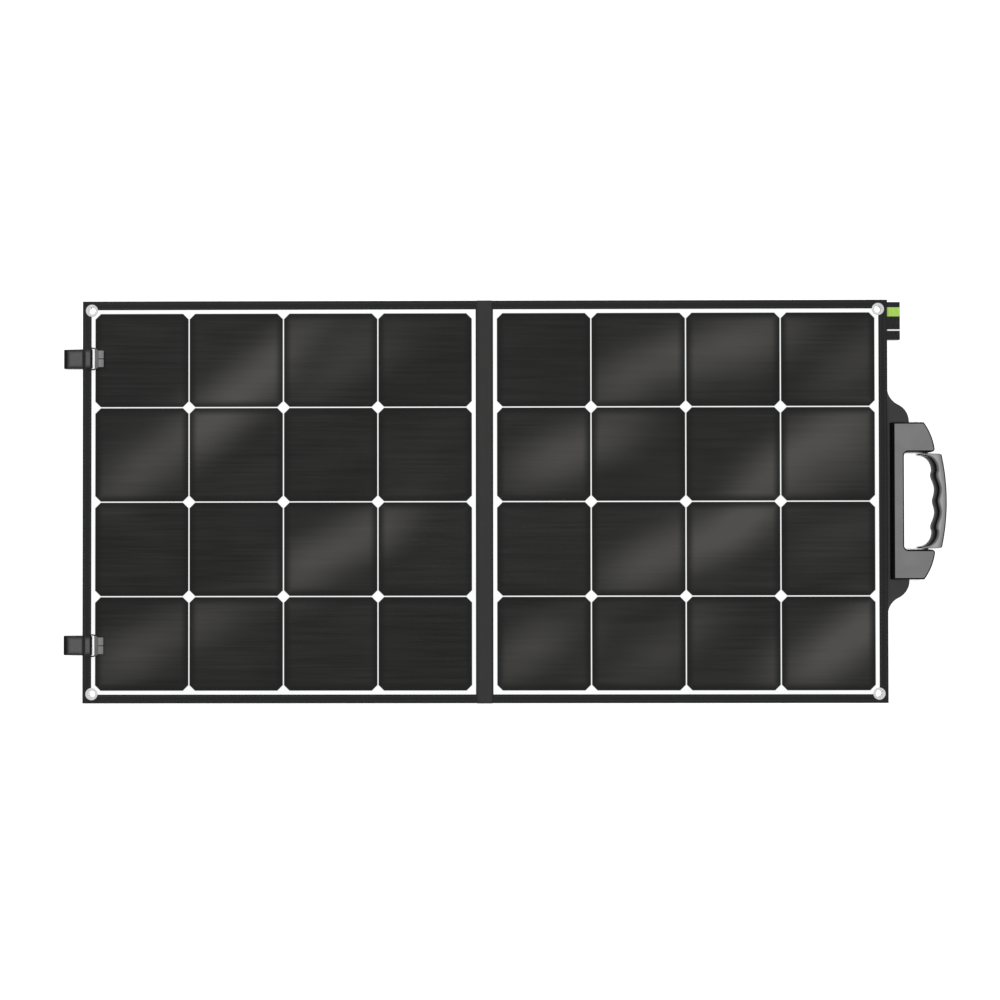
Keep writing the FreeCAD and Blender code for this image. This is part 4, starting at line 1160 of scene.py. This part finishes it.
def make_tongue(name, bar, mid):
    """The buckle's wire, its clip and its two prongs."""
    body = f"{name}_tongue"
    x, z = bar
    wires = Shell()
    tube(wires, [(x, mid + y, z) for y in (-14.4, -13.7, 0, 13.7, 14.4)], 1.3, 14)
    for way in (-1, 1):
        tube(wires, [(x + out, mid + way * y, z) for out, y in WIRE_BENDS], 0.8, 12)
    place(wires.make(f"{body}_wire", "black_plastic"), body, (), "buckle_plastic")

    def clip_ring(inset, level):
        near, far = CLIP_HALF_NEAR - inset, CLIP_HALF_FAR - inset
        x0, x1 = x + CLIP_NEAR + inset, x + CLIP_FAR - inset
        half = [
            (x0, near - 0.7), (x0 + 0.7, near), (x0 + 1.9, near), (x1 - 1.2, far + 0.5), (x1, far - 0.3),
        ]
        ring = [(out, mid - y, level) for out, y in half]
        return ring + [(out, mid + y, level) for out, y in reversed(half)]

    rounded = ((0.9, 1.5), (0.35, 1.42), (0.05, 1.0))
    rings = [clip_ring(inset, z - up) for inset, up in rounded]
    rings.append(clip_ring(0.0, z))
    rings += [clip_ring(inset, z + up) for inset, up in reversed(rounded)]
    clip = Shell().rings(rings).make(f"{body}_clip", "buckle_plastic", smooth=40)
    place(clip, body, [body], "buckle_plastic")

    prongs = Shell()
    far_x = x + CLIP_FAR
    edge = ((0.7, -1.0), (0.2, -0.85), (0.0, -0.5), (0.0, 0.5), (0.2, 0.85), (0.7, 1.0))
    ridge = ((0.0, 0.9), (0.1, 1.2), (0.5, 1.32))
    for y0, y1 in ((mid - 11.2, mid - 0.4), (mid + 0.4, mid + 11.2)):
        profile = [(inset, z + up) for inset, up in edge]
        slab(prongs, (far_x - 1.2, y0), (far_x + 6.8, y1), (0.3, 1.1, 1.1, 0.3), profile, 4)
        profile = [(inset, z + up) for inset, up in ridge]
        slab(prongs, (far_x + 3.9, y0 + 1.6), (far_x + 5.4, y1 - 1.6), (0.5,) * 4, profile, 4)
    place(prongs.make(f"{body}_prongs", "prong_plastic", smooth=40), body, (), "buckle_plastic")


for name in LEVELS:
    end_high = box(f"{name}_strap_end")[1]
    bar = (end_high.x - LOOP_OUT, end_high.z - LOOP_OUT)
    make_tongue(name, bar, make_webbing(name, bar))


# ---- back: pocket, junction box, sockets ----

TOOTH_PITCH = 1.35


def make_pocket():
    """The pocket's cloth with a window for its zip, the zip's tapes and teeth, and the stitches."""
    low, high = box("pocket_panel")
    rim_top = box("pocket_rim")[1].z
    tape_low, tape_high = box("zip_tape")
    coil_low, coil_high = box("zip_coil")
    middle = (coil_low.y + coil_high.y) / 2
    radii = (4.0,) * 4
    window_lo, window_hi = (coil_low.x + 0.3, middle - 4.5), (coil_high.x - 0.3, middle + 4.5)
    outside = (
        (0.0, rim_top - 0.05), (0.1, rim_top - 0.8), (0.5, low.z + 0.9), (1.3, low.z + 0.35),
        (2.6, low.z + 0.12), (6.5, low.z + 0.10), (7.4, low.z),
    )
    window = (
        (-1.8, low.z), (-0.6, low.z - 0.06), (-0.1, low.z + 0.1), (0.0, low.z + 0.5),
        (0.0, tape_low.z + 0.02),
    )
    shell = Shell()
    rings = [[(x, y, z) for x, y in outline(low.xy, high.xy, radii, inset, 6)] for inset, z in outside]
    for inset, z in window:
        rings.append([(x, y, z) for x, y in outline(window_lo, window_hi, (1.0,) * 4, inset, 6)])
    piece = shell.rings(rings, caps=False).make("pocket_cloth", "case_fabric", smooth=50)
    place(piece, "right_half", ["pocket_panel", "pocket_rim"], "case_fabric")

    tapes = Shell()
    profile = [(0.15, tape_low.z), (0.0, tape_low.z + 0.3), (0.15, tape_high.z)]
    for y0, y1 in ((middle - 7.4, middle - 0.35), (middle + 0.35, middle + 7.4)):
        slab(tapes, (tape_low.x, y0), (tape_high.x, y1), (0.4,) * 4, profile, 2)
    place(tapes.make("zip_tapes", "zip_fabric"), "right_half", ["zip_tape"], "zip_fabric")

    teeth = Shell()
    for n in range(int((coil_high.x - coil_low.x) / TOOTH_PITCH)):
        way = 1 if n % 2 else -1
        x = coil_low.x + TOOTH_PITCH * (n + 0.5)
        path = [
            (x, middle + way * 1.75, coil_high.z - 0.35),
            (x, middle + way * 1.2, coil_low.z + 0.32),
            (x + 0.08, middle, coil_low.z + 0.26),
            (x + 0.1, middle - way * 0.55, coil_low.z + 0.5),
        ]
        tube(teeth, path, 0.46, 7)
    place(teeth.make("zip_teeth", "zip_plastic"), "right_half", ["zip_coil"], "zip_plastic")

    seams = Shell()
    level = low.z + 0.08
    for inset in (3.4, 5.8):
        path = [(x, y, level) for x, y in outline(low.xy, high.xy, radii, inset, 4)]
        stitch_path(seams, [*path, path[0]], DOWN, radius=0.22)
    for y in (window_lo[1] - 1.9, window_hi[1] + 1.9):
        stitch_run(seams, (window_lo[0], y, low.z), (window_hi[0], y, low.z), DOWN, radius=0.2)
    place(seams.make("pocket_stitches", "thread"), "right_half")


def make_box_screws():
    """Screws in the lid of the junction box."""
    low, high = box("junction_box_lid")
    screw = ((0.5, 0.3), (0.62, -0.02), (1.5, -0.32), (2.3, -0.18), (2.5, 0.1), (1.0, 0.3))
    profile = [(radius, low.z + up) for radius, up in screw]
    shell = Shell()
    for x in (low.x + 5, high.x - 5):
        for y in (low.y + 5, high.y - 5):
            lathe(shell, (x, y), profile, 24)
    place(shell.make("junction_box_screws", "pin_steel"), "right_half")


make_pocket()
make_box_screws()
SOFT_EDGES = {"junction_box_lid": 0.45, "zip_slider": 0.2, "zip_puller": 0.22}
SOFT_EDGES |= {f"{level}_socket": 0.6 for level in LEVELS}
SOFT_EDGES |= {f"{level}_button": 0.25 for level in LEVELS}
SOFT_EDGES |= {f"{side}_hinge_bases": 0.25 for side in SIDES}
SOFT_EDGES |= {f"{side}_stand_leaves": 0.25 for side in SIDES}
for node, width in SOFT_EDGES.items():
    softened(node, width)


# ---- carried-over CAD parts, stage, light and camera ----

grip_far = box("grip")[1].x * MM
# painted highlight on the grip's face, brighter towards its inner edge
GRIP_PAINTED_HIGHLIGHT = (grip_far - 0.001, grip_far - 0.009, 1.75)
OWN_PAINTS = {
    "grip": painted_light_plastic(
        "grip_plastic", grey(0.165, 0.002), grey(0.012), GRIP_AWAY,
        painted_highlight=GRIP_PAINTED_HIGHLIGHT, painted_wall_shade=(-0.0095, -0.002, 0.006),
    ),
    "grip_pad": grip_rubber("grip_rubber"),
}
for node, thing in frame["nodes"].items():
    if not thing.hide_render:
        thing.data.materials.clear()
        thing.data.materials.append(OWN_PAINTS.get(node, PAINTS[NODE_SLOT[node]]))

bpy.ops.mesh.primitive_plane_add(size=60, location=(0, 0, -0.0006))
floor = bpy.context.object
floor.name = "floor"
floor.data.materials.append(floor_paint())

world = bpy.data.worlds.new("studio")
world.use_nodes = True
bpy.context.scene.world = world
background = world.node_tree.nodes["Background"]
background.inputs["Color"].default_value = (1, 1, 1, 1)
background.inputs["Strength"].default_value = 0.08


def area_light(name, place_at, target, size, power, glossy):
    data = bpy.data.lights.new(name, "AREA")
    data.shape = "RECTANGLE"
    data.size, data.size_y = size
    data.energy = power
    lamp = bpy.data.objects.new(name, data)
    bpy.context.scene.collection.objects.link(lamp)
    lamp.location = place_at
    lamp.rotation_euler = (Vector(target) - Vector(place_at)).to_track_quat("-Z", "Y").to_euler()
    lamp.visible_glossy = glossy


area_light("overhead", (0.25, 0, 7.0), (0.25, 0, 0), (1.6, 1.6), 590, False)
area_light("key", (-1.6, 2.4, 2.6), (0, 0, 0), (1.4, 1.0), 16, True)

# Solved from the panel's straight edges in the photo: place in metres, turn in radians.
EYE = (0.0148, -0.0326, 2.5624)
AIM = (0.01361, 0.00824, -0.00142)
SENSOR, LENS_SHARE = 36, 1.89622
camera_data = bpy.data.cameras.new("camera")
camera_data.sensor_width = SENSOR
camera_data.lens = SENSOR * LENS_SHARE
camera = bpy.data.objects.new("camera", camera_data)
bpy.context.scene.collection.objects.link(camera)
camera.location = EYE
camera.rotation_euler = AIM
bpy.context.scene.camera = camera
bpy.context.scene.view_settings.view_transform = "Standard"
